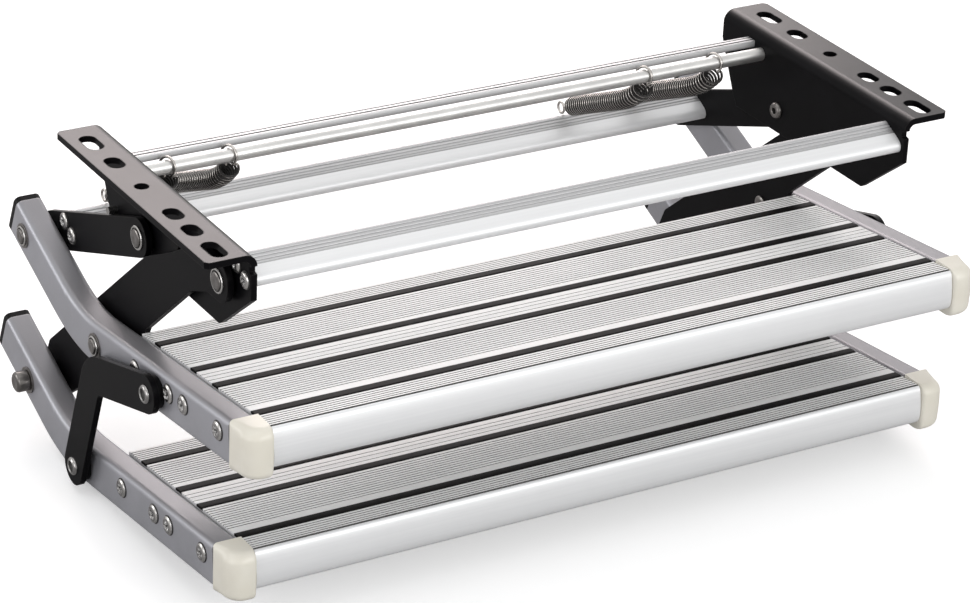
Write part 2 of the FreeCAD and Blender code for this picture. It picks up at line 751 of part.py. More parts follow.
def make_plug(name, origin):
    """A thin plastic plug that closes the rear end of an arm's tube."""
    body = new_body(name)
    rim = new_sketch(body, name + "_rim", offset=ARM_IN)
    reach = "arm_rear_leg"

    def corner(along, above):
        return (f"arm_bend_y + ({along}) * {BEND_COS} - ({above}) * {BEND_SIN}",
                f"({along}) * {BEND_SIN} + ({above}) * {BEND_COS}")
    half = "arm_height / 2"
    add_loop(rim, [corner(reach, f"-1 * {half}"), corner(f"{reach} + plug_rim", f"-1 * {half}"),
                   corner(f"{reach} + plug_rim", half), corner(reach, half)])
    pad(body, rim, "arm_width", name + "_cover")
    core = new_sketch(body, name + "_core", offset=f"{ARM_IN} + arm_wall + plug_fit")
    inner = f"({half} - arm_wall - plug_fit)"
    add_loop(core, [corner(f"{reach} - plug_depth", f"-1 * {inner}"),
                    corner(reach, f"-1 * {inner}"), corner(reach, inner),
                    corner(f"{reach} - plug_depth", inner)])
    pad(body, core, "arm_width - 2 * arm_wall - 2 * plug_fit", name + "_spigot")

    def rim_corner(edge):
        box = edge.BoundBox
        x_end = min(abs(box.Center.x - number(ARM_IN)), abs(box.Center.x - number(ARM_OUT)))
        return box.XLength < 0.01 and x_end < 0.01 and edge.Length < number("plug_rim") + 0.1
    round_edges(body, "arm_corner", rim_corner, name + "_round")
    place_in_step(body, origin)
    doc.recompute()
    return body


def make_right_cap(name, origin):
    """A rounded plastic cap over the front end of an arm."""
    body = new_body(name)
    back, front = "-1 * arm_front", "-1 * nose_front - cap_proud"
    low = "tread_top + 0.5 - cap_height"
    corners = [(front, low), (f"{back} - 4", low), (back, "-1 * arm_height / 2"),
               (back, "tread_top + 0.5"), (front, "tread_top + 0.5")]
    side = new_sketch(body, name + "_side", offset=ARM_IN)
    add_loop(side, corners)
    pad(body, side, "cap_width + 0.6", name + "_block")
    outside = number(f"{ARM_IN} + cap_width + 0.6")

    def upright(edge):
        box = edge.BoundBox
        return (box.XLength < 0.01 and box.YLength < 0.01 and abs(box.Center.x - outside) < 0.01
                and abs(box.Center.y - number(front)) < 0.01)
    round_edges(body, "cap_side_round", upright, name + "_side_nose")

    def rim(edge):
        box = edge.BoundBox
        level = min(abs(box.Center.z - number(low)), abs(box.Center.z - number(corners[3][1])))
        at_back = box.YLength < 0.01 and box.Center.y > number(back) - 5
        return (box.ZLength < 0.01 and level < 0.01 and not at_back
                and box.XMax > number(ARM_IN) + 0.5)
    round_edges(body, "cap_round", rim, name + "_rim")
    core = new_sketch(body, name + "_core", "XZ_Plane", offset="arm_front - plug_depth")
    inset = "(arm_wall + plug_fit)"
    add_loop(core, [
        (f"{ARM_IN} + {inset}", f"-1 * arm_height / 2 + {inset}"),
        (f"{ARM_OUT} - {inset}", f"-1 * arm_height / 2 + {inset}"),
        (f"{ARM_OUT} - {inset}", f"arm_height / 2 - {inset}"),
        (f"{ARM_IN} + {inset}", f"arm_height / 2 - {inset}")])
    pad(body, core, "plug_depth + 2", name + "_spigot")
    place_in_step(body, origin)
    doc.recompute()
    return keep(name, body)


def cut_ribs(body, name, from_y, to_y):
    """Fine grooves along the plank from one distance back from the nose to another."""
    groove = new_sketch(body, name)
    top = "tread_top"
    add_loop(groove, [(from_y, f"{top} - rib_depth"), (f"{from_y} + rib_groove", f"{top} - rib_depth"),
                      (f"{from_y} + rib_groove", f"{top} + 1"), (from_y, f"{top} + 1")])
    first = pocket(body, groove, f"2 * {ARM_IN} + 2", name + "_cut", midplane=True)
    count = int((number(to_y) - number(from_y) - number("rib_groove")) / number("rib_pitch")) + 1
    if count > 1:
        rows = body.newObject("PartDesign::LinearPattern", name + "_rows")
        rows.Originals = [first]
        rows.Direction = (groove, ["H_Axis"])
        rows.Occurrences = count
        rows.setExpression("Length", bound(f"rib_pitch * {count - 1}"))
        body.Tip = rows
        doc.recompute()


def make_plank(name, origin, outline, rounds, hollows, strips, ribs):
    """A hollow extruded plank, with grooves for its grip strips and fine ribs between."""
    body = new_body(name)
    section = new_sketch(body, name + "_section")
    add_loop(section, outline)
    for rear, front, low in hollows:
        top = "tread_top - strip_depth - plank_wall"
        add_loop(section, [(front, low), (rear, low), (rear, top), (front, top)])
    pad(body, section, f"2 * {ARM_IN}", name + "_pad", midplane=True)
    for i, (radius, which) in enumerate(rounds):
        round_edges(body, radius, across_edge([outline[k] for k in which]), f"{name}_round{i}")
    for i, front in enumerate(strips):
        seat = new_sketch(body, f"{name}_seat{i}")
        add_loop(seat, [(front, "tread_top - strip_depth"),
                        (f"{front} + strip_width", "tread_top - strip_depth"),
                        (f"{front} + strip_width", "tread_top + 1"), (front, "tread_top + 1")])
        pocket(body, seat, f"2 * {ARM_IN} + 2", f"{name}_channel{i}", midplane=True)
    for i, (from_y, to_y) in enumerate(ribs):
        cut_ribs(body, f"{name}_ribs{i}", from_y, to_y)
    place_in_step(body, origin)
    doc.recompute()
    return keep(name, body)


STRIP_FRONTS = ("-1 * tread_rear - 33", "-1 * plank_joint + 16", "-1 * plank_joint - 20",
                "-1 * plank_joint - 83")


def make_strips(name, origin):
    """Ribbed grip strips, pressed into the planks' channels."""
    things = []
    for i, front in enumerate(STRIP_FRONTS):
        body = new_body(f"{name}{i}")
        section = new_sketch(body, f"{name}_section{i}")
        near, far = f"{front} + strip_fit", f"{front} + strip_width - strip_fit"
        base = "tread_top - strip_depth"
        add_loop(section, [(near, base), (far, base), (far, "tread_top + strip_proud"),
                           (near, "tread_top + strip_proud")])
        pad(body, section, f"2 * {ARM_IN} - 0.4", f"{name}_pad{i}", midplane=True)
        place_in_step(body, origin)
        things.append(body)
    return group(name, things)


def make_screw(name, spot, side):
    """A button-head screw through an arm into a plank."""
    return turned(name, [
        (f"{ARM_IN} - 14", "0"), (f"{ARM_IN} - 14", "screw_shank"),
        (ARM_OUT, "screw_shank"), (ARM_OUT, "screw_head"),
        (f"{ARM_OUT} + screw_head_height / 2", "screw_head"),
        (f"{ARM_OUT} + screw_head_height", "screw_head * 0.55"),
        (f"{ARM_OUT} + screw_head_height", "screw_head * 0.3"),
        (f"{ARM_OUT} + screw_head_height * 0.4", "0")], spot, side)


def make_step(word, origin, pin_holes):
    arm = make_right_arm(f"{word}_right_arm", origin, pin_holes + [
        ((along, SCREW_LEVEL), "screw_shank") for along in PLANK_SCREWS])
    mirrored(f"{word}_left_arm", arm)
    plug = make_plug(f"{word}_right_plug", origin)
    twin = doc.addObject("Part::Mirroring", f"{word}_left_plug")
    twin.Source = plug
    twin.Normal = Vector(1, 0, 0)
    group(f"{word}_arm_plugs", [plug, twin])
    cap = make_right_cap(f"{word}_right_nose_cap", origin)
    mirrored(f"{word}_left_nose_cap", cap)
    top, rear, joint = "tread_top", "-1 * tread_rear", "-1 * plank_joint"
    low = "tread_top - plank_height"
    nose, chin = "-1 * nose_front", "tread_top - nose_depth"
    wall = "plank_wall"
    outline = [(f"{joint} + plank_joint_gap", low), (rear, low), (rear, top),
               (f"{joint} + plank_joint_gap", top)]
    middle = f"({joint} + {rear}) / 2"
    make_plank(
        f"{word}_rear_plank", origin, outline, (("1.5", (1, 2)),),
        ((f"{rear} - {wall}", f"{middle} + {wall} / 2", f"{low} + {wall}"),
         (f"{middle} - {wall} / 2", f"{joint} + {wall} + plank_joint_gap", f"{low} + {wall}")),
        STRIP_FRONTS[:2],
        ((f"{STRIP_FRONTS[1]} + strip_width + 3", f"{STRIP_FRONTS[0]} - 2"),
         (f"{joint} + 2.4", f"{STRIP_FRONTS[1]} - 6.5")))
    outline = [(nose, chin), (f"{nose} + 26", chin), (f"{nose} + 26", low), (joint, low),
               (joint, top), (f"{nose} + 5", top), (nose, f"{top} - 4.5")]
    make_plank(
        f"{word}_front_plank", origin, outline,
        (("nose_radius", (0,)), ("3", (1,)), ("1.5", (2,)), ("4", (5, 6))),
        ((f"{joint} - {wall}", f"{joint} - 54 + {wall} / 2", f"{low} + {wall}"),
         (f"{joint} - 54 - {wall} / 2", f"{nose} + 26", f"{low} + {wall}"),
         (f"{nose} + 24", f"{nose} + 6", f"{chin} + 6")),
        STRIP_FRONTS[2:],
        ((f"{STRIP_FRONTS[3]} + strip_width + 11", f"{STRIP_FRONTS[2]} - 2"),
         (f"{nose} + 9", f"{STRIP_FRONTS[3]} - 1.5")))
    make_strips(f"{word}_grip_strips", origin)
    screws = []
    for i, along in enumerate(PLANK_SCREWS):
        for side, hand in ((1, "right"), (-1, "left")):
            spot = in_step(origin, along, SCREW_LEVEL)
            screws.append(make_screw(f"{word}_{hand}_screw{i}", spot, side))
    group(f"{word}_plank_screws", screws)


make_step("upper", UPPER, [
    (("0", "0"), "pivot_radius + pivot_play"),
    (REAR_LEG_HOLE["link_hole_leg"], "pivot_radius"),
    (("upper_tie_y", "0"), "tie_pin_radius")])
make_step("lower", LOWER, [
    (REAR_LEG_HOLE["lower_pivot_leg"], "pivot_radius + pivot_play"),
    (("lower_tie_y", "0"), "tie_pin_radius")])


# Tie links: cranked bars outside the arms, which carry the lower step's tilt

def make_tie_link(name, side):
    yu, zu = UPPER_TIE_PIN
    yl, zl = LOWER_TIE_PIN
    # The crank's corner, at a distance along the upper leg, which falls towards the rear
    fall = "16.2 deg"
    yv = f"({yu} + tie_elbow_along * cos({fall}))"
    zv = f"({zu} - tie_elbow_along * sin({fall}))"
    run, rise = f"({yl} - {yv})", f"({zl} - {zv})"
    length = f"sqrt({run} * {run} + {rise} * {rise})"
    cos2, sin2 = f"({run} / {length})", f"({rise} / {length})"
    half = "tie_half_width"
    cos1, sin1 = f"cos({fall})", f"(-1 * sin({fall}))"

    def off(y, z, along, above, c, s):
        return (f"({y} + ({along}) * {c} - ({above}) * {s})",
                f"({z} + ({along}) * {s} + ({above}) * {c})")
    # The two legs' edges meet on the line that halves the crank
    mean_y, mean_z = f"({cos1} + {cos2})", f"({sin1} + {sin2})"
    reach = f"({half} * 2 / ({mean_y} * {mean_y} + {mean_z} * {mean_z}))"
    outer = (f"({yv} - {reach} * {mean_z})", f"({zv} + {reach} * {mean_y})")
    inner = (f"({yv} + {reach} * {mean_z})", f"({zv} - {reach} * {mean_y})")
    corners = [
        off(yu, zu, f"-1 * {half}", half, cos1, sin1), outer,
        off(yl, zl, half, half, cos2, sin2), off(yl, zl, half, f"-1 * {half}", cos2, sin2),
        inner, off(yu, zu, f"-1 * {half}", f"-1 * {half}", cos1, sin1)]
    hole = "tie_pin_radius + pivot_play"
    return side_plate(
        name, corners, side, TIE_IN, "link_thickness",
        rounds=((f"{half} * 0.96", (0, 2, 3, 5)), ("40", (1,)), ("8", (4,))),
        holes=((yu, zu, hole), (yl, zl, "tie_pin_radius")))


for word, side in (("left", -1), ("right", 1)):
    make_tie_link(f"{word}_tie_link", side)


# Pins, washers and stops

HEAD_AT = f"({LINK_OUT} + face_play)"
both_sides("bracket_pivot_pins", [
    ("bracket_inner - 3", "pivot_radius * 0.5"), ("bracket_inner - 3", "pivot_radius + 1"),
    ("bracket_inner - 1", "pivot_radius + 2"), ("bracket_inner", "pivot_radius + 2"),
    ("bracket_inner", "pivot_radius"), (HEAD_AT, "pivot_radius"),
    (HEAD_AT, "pivot_head_radius"), (f"{HEAD_AT} + pivot_head_height * 0.4", "pivot_head_radius"),
    (f"{HEAD_AT} + pivot_head_height", "pivot_head_radius * 0.72"),
    (f"{HEAD_AT} + pivot_head_height", "pivot_radius * 0.5")], (LEVER_PIVOT, LINK_PIVOT))
both_sides("bracket_washers", ring_profile(
    PLATE_OUT, f"{LINK_IN} - face_play", "pivot_radius + pivot_play", "washer_radius"),
    (LEVER_PIVOT, LINK_PIVOT))

STOP_SPOT = along_link("stop_pin_along", "link_half_width + stop_pin_radius + stop_gap")
both_sides("link_stop_pins", pin_profile(
    (PLATE_OUT, f"{LINK_OUT} - 0.5", "stop_pin_radius")), (STOP_SPOT,))
both_sides("lever_buffers", pin_profile(
    (PLATE_OUT, f"{LINK_OUT} - 0.3", "buffer_radius")),
    (("lever_pivot_y + 72.2", "lever_pivot_z + 1.4"),))
both_sides("crossbar_screws", pin_profile(
    ("bracket_inner - 12", PLATE_OUT, "screw_shank"),
    (PLATE_OUT, f"{PLATE_OUT} + 2.4", "screw_head * 0.9")),
    FRONT_BAR_SCREWS + (SPRING_ROD,))
both_sides("rear_crossbar_rivets", pin_profile(
    ("bracket_inner - 12", PLATE_OUT, "rivet_shank"),
    (PLATE_OUT, f"{PLATE_OUT} + 1.6", "rivet_shank + 2.2")), (REAR_BAR,))
both_sides("moving_crossbar_screws", pin_profile(
    (f"{LINK_IN} - 12", LINK_OUT, "screw_shank"),
    (LINK_OUT, f"{LINK_OUT} + 2.4", "screw_head * 0.9")),
    MOVING_BAR_SCREWS)

ARM_WASHER = ("1.2", "washer_radius")


def arm_pin(inner, shank):
    """A pin through an arm, with a flat head outside it."""
    return [(inner, "0"), (inner, shank), (f"{ARM_OUT} + 1.4", shank),
            (f"{ARM_OUT} + 1.4", "pin_head_radius"), (f"{ARM_OUT} + 3.2", "pin_head_radius"),
            (f"{ARM_OUT} + 3.7", "pin_head_radius - 0.6"), (f"{ARM_OUT} + 3.7", "0")]


INNER_END = f"({LINK_IN} - face_play)"


def riveted(profile, shank):
    """The same pin with a riveted end inside the lever."""
    return [(f"{INNER_END} - 2.2", "0"), (f"{INNER_END} - 2.2", f"{shank} + 0.6"),
            (f"{INNER_END} - 1.2", f"{shank} + 2"), (INNER_END, f"{shank} + 2"),
            (INNER_END, shank)] + profile[2:]


both_sides("upper_lever_pins", riveted(arm_pin("0", "pivot_radius"), "pivot_radius"), (UPPER,))
both_sides("upper_link_pins", arm_pin(f"{ARM_IN} + face_play", "pivot_radius"),
           (ARM_LINK_PIN,))
both_sides("rear_link_studs", [
    (f"{INNER_END} - 2.2", "0"), (f"{INNER_END} - 2.2", "pivot_radius + 1"),
    (LINK_IN, "pivot_radius + 2"), (LINK_IN, "pivot_radius"),
    (f"{ARM_IN} - face_play", "pivot_radius"), (f"{ARM_IN} - face_play", "0")],
    (along_link(LINK_LENGTH, "0"),))
both_sides("lower_lever_bolts", riveted([
    ("0", "0"), ("0", "0"), (f"{ARM_OUT} + 1.7", "pivot_radius"),
    (f"{ARM_OUT} + 1.7", "stub_radius"), (f"{ARM_OUT} + stub_length", "stub_radius"),
    (f"{ARM_OUT} + stub_length + 1.2", "stub_radius - 1.2"),
    (f"{ARM_OUT} + stub_length + 1.2", "0")], "pivot_radius"), (LOWER_PIVOT,))
both_sides("upper_pin_washers", ring_profile(
    ARM_OUT, f"{ARM_OUT} + 1.2", "pivot_radius + pivot_play", "washer_radius"),
    (UPPER, ARM_LINK_PIN))
both_sides("lower_bolt_washers", ring_profile(
    ARM_OUT, f"{ARM_OUT} + 1.5", "pivot_radius + pivot_play", "washer_radius + 1"),
    (LOWER_PIVOT,))
both_sides("lever_washers", ring_profile(
    f"{LINK_OUT} + 0.1", f"{ARM_IN} - 0.1", "pivot_radius + pivot_play", "washer_radius"),
    (UPPER, LOWER_PIVOT))
both_sides("upper_tie_pins", [
    (f"{ARM_OUT} - 6", "0"), (f"{ARM_OUT} - 6", "tie_pin_radius"),
    (f"{TIE_OUT} + face_play", "tie_pin_radius"), (f"{TIE_OUT} + face_play", "tie_head_radius"),
    (f"{TIE_OUT} + 1.6", "tie_head_radius"), (f"{TIE_OUT} + 2.6", "tie_head_radius * 0.6"),
    (f"{TIE_OUT} + 2.6", "0")], (UPPER_TIE_PIN,))
both_sides("upper_tie_spacers", ring_profile(
    ARM_OUT, f"{TIE_IN} - face_play", "tie_pin_radius", "tie_spacer_radius"), (UPPER_TIE_PIN,))
both_sides("lower_tie_pins", [
    (TIE_IN, "0"), (TIE_IN, "tie_pin_radius"), (TIE_OUT, "tie_pin_radius"),
    (TIE_OUT, "tie_head_radius"), (f"{TIE_OUT} + 1.6", "tie_head_radius"),
    (f"{TIE_OUT} + 2.6", "tie_head_radius * 0.6"), (f"{TIE_OUT} + 2.6", "0")],
    (LOWER_TIE_PIN,))
both_sides("lower_tie_studs", pin_profile(
    (f"{ARM_OUT} - 6", ARM_OUT, "tie_pin_radius"),
    (ARM_OUT, f"{TIE_IN} - face_play", "tie_spacer_radius")), (LOWER_TIE_PIN,))


# Check every object, then write each sub-part to its own file

doc.recompute()
for thing in doc.Objects:
    if "Invalid" in thing.State or "Error" in thing.State:
        raise RuntimeError(f"{thing.Name} failed: {thing.State}")
os.makedirs("parts", exist_ok=True)
for name, thing in nodes.items():
    if thing.Shape.isNull() or not thing.Shape.isValid() or not thing.Shape.Solids:
        raise RuntimeError(f"{name} has no valid shape")
    thing.Shape.exportStep(f"parts/{name}.step")
print(len(nodes), "sub-parts written")
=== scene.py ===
import json
import math
import bmesh
import bpy
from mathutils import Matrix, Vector


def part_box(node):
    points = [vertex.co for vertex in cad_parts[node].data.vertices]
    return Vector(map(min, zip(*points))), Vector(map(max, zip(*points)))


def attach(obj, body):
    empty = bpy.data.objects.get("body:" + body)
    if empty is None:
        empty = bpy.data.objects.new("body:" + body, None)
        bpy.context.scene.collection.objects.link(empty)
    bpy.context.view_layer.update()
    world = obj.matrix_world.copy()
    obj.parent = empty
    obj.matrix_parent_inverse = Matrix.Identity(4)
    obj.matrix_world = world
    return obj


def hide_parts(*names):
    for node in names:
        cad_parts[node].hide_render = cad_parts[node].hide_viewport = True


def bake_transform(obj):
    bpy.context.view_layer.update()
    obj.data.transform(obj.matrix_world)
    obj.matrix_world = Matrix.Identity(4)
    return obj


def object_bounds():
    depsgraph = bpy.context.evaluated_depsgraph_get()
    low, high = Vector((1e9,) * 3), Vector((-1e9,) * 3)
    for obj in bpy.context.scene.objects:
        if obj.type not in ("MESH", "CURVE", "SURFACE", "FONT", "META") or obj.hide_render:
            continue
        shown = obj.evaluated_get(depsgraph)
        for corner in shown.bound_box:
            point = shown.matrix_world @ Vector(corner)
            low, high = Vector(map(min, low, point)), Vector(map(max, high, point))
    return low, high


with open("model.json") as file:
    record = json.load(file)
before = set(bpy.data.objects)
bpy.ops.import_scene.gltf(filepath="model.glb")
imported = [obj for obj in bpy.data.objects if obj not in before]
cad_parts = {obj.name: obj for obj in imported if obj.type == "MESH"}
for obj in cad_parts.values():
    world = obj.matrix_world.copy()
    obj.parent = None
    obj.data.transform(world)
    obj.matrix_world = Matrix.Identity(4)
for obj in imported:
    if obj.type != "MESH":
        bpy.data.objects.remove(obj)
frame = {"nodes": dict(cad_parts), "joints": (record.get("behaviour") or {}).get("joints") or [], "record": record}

cad_low, cad_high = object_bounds()
MM = 0.001

# Camera, at the angle of the photograph

CAMERA_SPOT = (-1.36931, -2.23934, 1.12207)
CAMERA_TURN = (63.9459, -2.321, -30.1437)
CAMERA_SENSOR, CAMERA_LENS = 36, 136.42

camera_data = bpy.data.cameras.new("camera")
camera_data.sensor_width = CAMERA_SENSOR
camera_data.lens = CAMERA_LENS
camera = bpy.data.objects.new("camera", camera_data)
camera.location = CAMERA_SPOT
camera.rotation_euler = [math.radians(angle) for angle in CAMERA_TURN]
bpy.context.scene.collection.objects.link(camera)
bpy.context.scene.camera = camera
bpy.context.scene.view_settings.view_transform = "Standard"


# Shader maths

class Wire:
    """A socket of a material. Arithmetic on it adds Math nodes."""

    def __init__(self, tree, socket=None):
        self.tree = tree
        self.socket = socket

    def add(self, kind, settings=None, sockets=None, output=0):
        """Any other node: its type, its settings, then the values or links of its sockets."""
        node = self.tree.nodes.new("ShaderNode" + kind)
        for name, value in (settings or {}).items():
            setattr(node, name, value)
        for name, value in (sockets or {}).items():
            if isinstance(value, Wire):
                self.tree.links.new(value.socket, node.inputs[name])
            else:
                node.inputs[name].default_value = value
        made = Wire(self.tree, node.outputs[output])
        made.node = node
        return made

    def maths(self, operation, *values, clamp=False):
        return self.add("Math", {"operation": operation, "use_clamp": clamp},
                        dict(enumerate(values)))

    def __add__(self, other):
        return self.maths("ADD", self, other)

    __radd__ = __add__

    def __sub__(self, other):
        return self.maths("SUBTRACT", self, other)

    def __rsub__(self, other):
        return self.maths("SUBTRACT", other, self)

    def __mul__(self, other):
        return self.maths("MULTIPLY", self, other)

    __rmul__ = __mul__

    def clamped(self):
        return self.maths("ADD", self, 0.0, clamp=True)

    def step(self, low, high):
        """0 below low, 1 above high, smooth between."""
        return self.add("MapRange", {"interpolation_type": "SMOOTHSTEP"},
                        {"Value": self, "From Min": low, "From Max": high})


def opaque(colour):
    """A colour with its alpha, or a wire as it is."""
    return colour if isinstance(colour, Wire) else (*colour, 1)


def mixed(wire, share, first, second):
    """Two colours mixed by a share from 0 to 1."""
    return wire.add("Mix", {"data_type": "RGBA"},
                    {0: share, 6: opaque(first), 7: opaque(second)}, 2)


def new_material(name):
    """An empty material, with its shader and a wire to build on."""
    material = bpy.data.materials.new(name)
    material.use_nodes = True
    tree = material.node_tree
    shader = tree.nodes["Principled BSDF"]
    return material, Wire(tree), shader


def settle(wire, shader, linked, **fixed):
    """Set the shader's constant sockets, and link those that vary over the surface."""
    for name, value in fixed.items():
        shader.inputs[name.replace("_", " ")].default_value = value
    for name, value in linked.items():
        wire.tree.links.new(value.socket, shader.inputs[name])


def grain(wire, scale, detail, rough=0.55, stretch=(1, 1, 1)):
    """Noise in the object's own space, at a scale per metre."""
    space = wire.add("TexCoord", output="Object")
    place = wire.add("Mapping", None, {"Vector": space, "Scale": stretch})
    return wire.add("TexNoise", None, {
        "Vector": place, "Scale": scale, "Detail": detail, "Roughness": rough}, "Fac")


def rounded_normal(wire, reach, samples=4):
    """The surface's direction, as if its edges were rounded."""
    return wire.add("Bevel", {"samples": samples}, {"Radius": reach})


def upward(wire, normal):
    """How far a direction points up, from -1 to 1."""
    return wire.add("SeparateXYZ", None, {"Vector": normal}, "Z")


def bumped(wire, height, strength, distance, edge=0.0):
    """Fine relief, over edges that catch the light as if rounded."""
    sockets = {"Height": height, "Strength": strength, "Distance": distance}
    if edge:
        sockets["Normal"] = rounded_normal(wire, edge)
    return wire.add("Bump", None, sockets, "Normal")


def worn_and_highlit_edges(wire, reach):
    """1 on outer edges and 0 on flat faces, from the rounded direction. Its callers lighten edges with it, partly
    as wear and partly as painted highlight.
    """
    plain = wire.add("NewGeometry", output="Normal")
    agree = wire.add("VectorMath", {"operation": "DOT_PRODUCT"},
                     {0: plain, 1: rounded_normal(wire, reach)}, "Value")
    return (1 - agree).step(0.02, 0.25)


def paint_black():
    """Satin black powder coat, with faint smears, and edges lightened grey, partly wear and partly painted
    highlight.
    """
    material, wire, shader = new_material("black_powder_coat")
    coat, smeared, rubbed_and_highlit = (0.0024, 0.0022, 0.0027), (0.004, 0.0038, 0.0046), (0.04, 0.038, 0.037)
    mottle = grain(wire, 1500, 3)
    smears = grain(wire, 26, 5)
    colour = mixed(wire, smears.step(0.35, 0.7), coat, smeared)
    # Edges lightened grey: partly wear, partly painted highlight
    colour = mixed(wire, worn_and_highlit_edges(wire, 0.0012) * 0.4, colour, rubbed_and_highlit)
    flat_on_top = upward(wire, rounded_normal(wire, 0.0022, 8)).step(0.82, 0.985)
    settle(wire, shader, {
        "Base Color": colour,
        "Coat Weight": flat_on_top * (0.34 + smears * 0.16),
        "Roughness": 0.3 + smears * 0.1 + mottle * 0.06,
        "Normal": bumped(wire, mottle, 0.1, 0.0003, 0.0008)},
        Specular_IOR_Level=0.055, Coat_Roughness=0.3, Coat_IOR=1.56,
        Coat_Tint=(1.0, 0.94, 0.93, 1.0))
    return material


def paint_silver():
    """Silver grey paint with a fine metal flake, painted darker on top as shade, and edges lightened, partly wear
    and partly painted highlight.
    """
    material, wire, shader = new_material("silver_paint")
    paint, cloudy, glint = (0.33, 0.33, 0.355), (0.38, 0.38, 0.41), (0.5, 0.5, 0.53)
    top_shade, rubbed_and_highlit = (0.2, 0.192, 0.197), (0.6, 0.6, 0.62)
    flake = grain(wire, 2600, 2)
    cloud = grain(wire, 22, 4)
    top = upward(wire, wire.add("NewGeometry", output="Normal")).step(0.55, 0.97)
    colour = mixed(wire, cloud.step(0.3, 0.75), paint, cloudy)
    colour = mixed(wire, flake.step(0.45, 0.7) * 0.3, colour, glint)
    # Painted shade: the faces that look up are darkened
    colour = mixed(wire, top * 0.6, colour, top_shade)
    # Edges lightened: partly wear, partly painted highlight
    colour = mixed(wire, worn_and_highlit_edges(wire, 0.0015) * 0.4, colour, rubbed_and_highlit)
    settle(wire, shader, {
        "Base Color": colour,
        "Roughness": 0.34 + cloud * 0.12,
        "Normal": bumped(wire, flake, 0.1, 0.0003, 0.0008)},
        Metallic=0.45, Specular_IOR_Level=0.3)
    return material


def aluminium(name, base, lift, rough, metallic, relief=0.1):
    """Extruded aluminium, with die lines that run along X."""
    material, wire, shader = new_material(name)
    lines = grain(wire, 420, 3, 0.6, (0.006, 1, 1))
    cloud = grain(wire, 14, 3)
    settle(wire, shader, {
        "Base Color": mixed(wire, lines.step(0.3, 0.7), base, lift),
        "Roughness": rough + cloud * 0.1 + lines * 0.8 * relief,
        "Normal": bumped(wire, lines, relief, 0.0002)},
        Metallic=metallic)
    return material


def metal(name, base, dull, rough, scale, metallic=0.95, relief=0.08, edge_wear_and_highlight=0.75):
    """Plated or oiled steel, with a fine dull mottle, and brighter edges, partly wear and partly painted
    highlight.
    """
    material, wire, shader = new_material(name)
    spots = grain(wire, scale, 4)
    scratch = grain(wire, 900, 2, 0.5, (1, 0.2, 1))
    colour = mixed(wire, spots.step(0.35, 0.65), base, dull)
    # Brighter edges: partly wear, partly painted highlight
    if edge_wear_and_highlight:
        bright = [min(part * 2.6, 0.86) for part in base]
        colour = mixed(wire, worn_and_highlit_edges(wire, 0.0007) * edge_wear_and_highlight, colour, bright)
    settle(wire, shader, {
        "Base Color": colour,
        "Roughness": rough + spots * 0.14 + scratch * 0.05,
        "Normal": bumped(wire, scratch, relief, 0.0002)},
        Metallic=metallic)
    return material


def plastic(name, base, second, rough, specular=0.5):
    """Moulded plastic or rubber, with a faint texture."""
    material, wire, shader = new_material(name)
    skin = grain(wire, 1400, 3)
    cloud = grain(wire, 30, 3)
    settle(wire, shader, {
        "Base Color": mixed(wire, cloud.step(0.3, 0.7), base, second),
        "Roughness": rough + cloud * 0.08,
        "Normal": bumped(wire, skin, 0.1, 0.0003)},
        Specular_IOR_Level=specular)
    return material


FINISH = {
    "black_steel": paint_black(),
    "silver_steel": paint_silver(),
    "extruded_aluminium": aluminium(
        "satin_aluminium", (0.80, 0.805, 0.812), (0.83, 0.835, 0.84), 0.36, 0.3, 0.03),
    "tread_aluminium": aluminium(
        "tread_aluminium", (0.86, 0.86, 0.855), (0.91, 0.91, 0.905), 0.5, 0.08),
    "groove_shade": aluminium(
        "groove_shade", (0.10, 0.10, 0.10), (0.16, 0.16, 0.158), 0.5, 0.2),
    "grooved_aluminium": aluminium(
        "grooved_aluminium", (0.42, 0.42, 0.425), (0.52, 0.52, 0.525), 0.34, 0.6),
    "recess_shade": metal(
        "recess_shade", (0.03, 0.029, 0.028), (0.055, 0.053, 0.05), 0.4, 600, 0.3),
    # Painted highlight for the rims of pins and screws
    "highlit_rim": metal("highlit_rim", (0.5, 0.485, 0.465), (0.4, 0.388, 0.372), 0.16, 300),
    "bright_steel": metal(
        "bright_drawn_steel", (0.62, 0.615, 0.6), (0.54, 0.535, 0.525), 0.33, 40,
        relief=0.01, edge_wear_and_highlight=0),
    "plated_steel": metal("zinc_plate", (0.36, 0.35, 0.34), (0.28, 0.27, 0.265), 0.12, 120),
    "dark_steel": metal("dark_plate", (0.2, 0.187, 0.178), (0.15, 0.142, 0.135), 0.2, 120),
    "spring_steel": metal("oiled_wire", (0.52, 0.495, 0.47), (0.4, 0.38, 0.36), 0.14, 90, edge_wear_and_highlight=0),
    # Painted shade for the sides of the spring wire turned into the coil
    "coil_inner_shade": metal("coil_inner_shade", (0.012, 0.011, 0.01), (0.02, 0.018, 0.017), 0.4, 90, 0.3),
    "cream_plastic": plastic("cream_plastic", (0.79, 0.755, 0.655), (0.83, 0.80, 0.71), 0.34),
    "black_plastic": plastic(
        "black_plastic", (0.0035, 0.0035, 0.004), (0.006, 0.006, 0.0065), 0.4, 0.1),
    "black_rubber": plastic(
        "black_rubber", (0.003, 0.0027, 0.0026), (0.006, 0.0054, 0.0052), 0.46, 0.06),
}
SLOT = {part["node"]: part["material_slot"] for part in frame["record"]["subparts"]}
for name, node in frame["nodes"].items():
    node.data.materials.clear()
    node.data.materials.append(FINISH[SLOT[name]])


# Places, as (y, z) in millimetres, and distances from the row's middle

def joint_spot(name):
    """Where a hinge's axis runs."""
    place = next(joint["pos_m"] for joint in frame["joints"] if joint["name"] == name)
    return place[1] / MM, place[2] / MM


def node_spot(name):
    """The middle of a CAD node."""
    low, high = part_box(name)
    return (low.y + high.y) / 2 / MM, (low.z + high.z) / 2 / MM


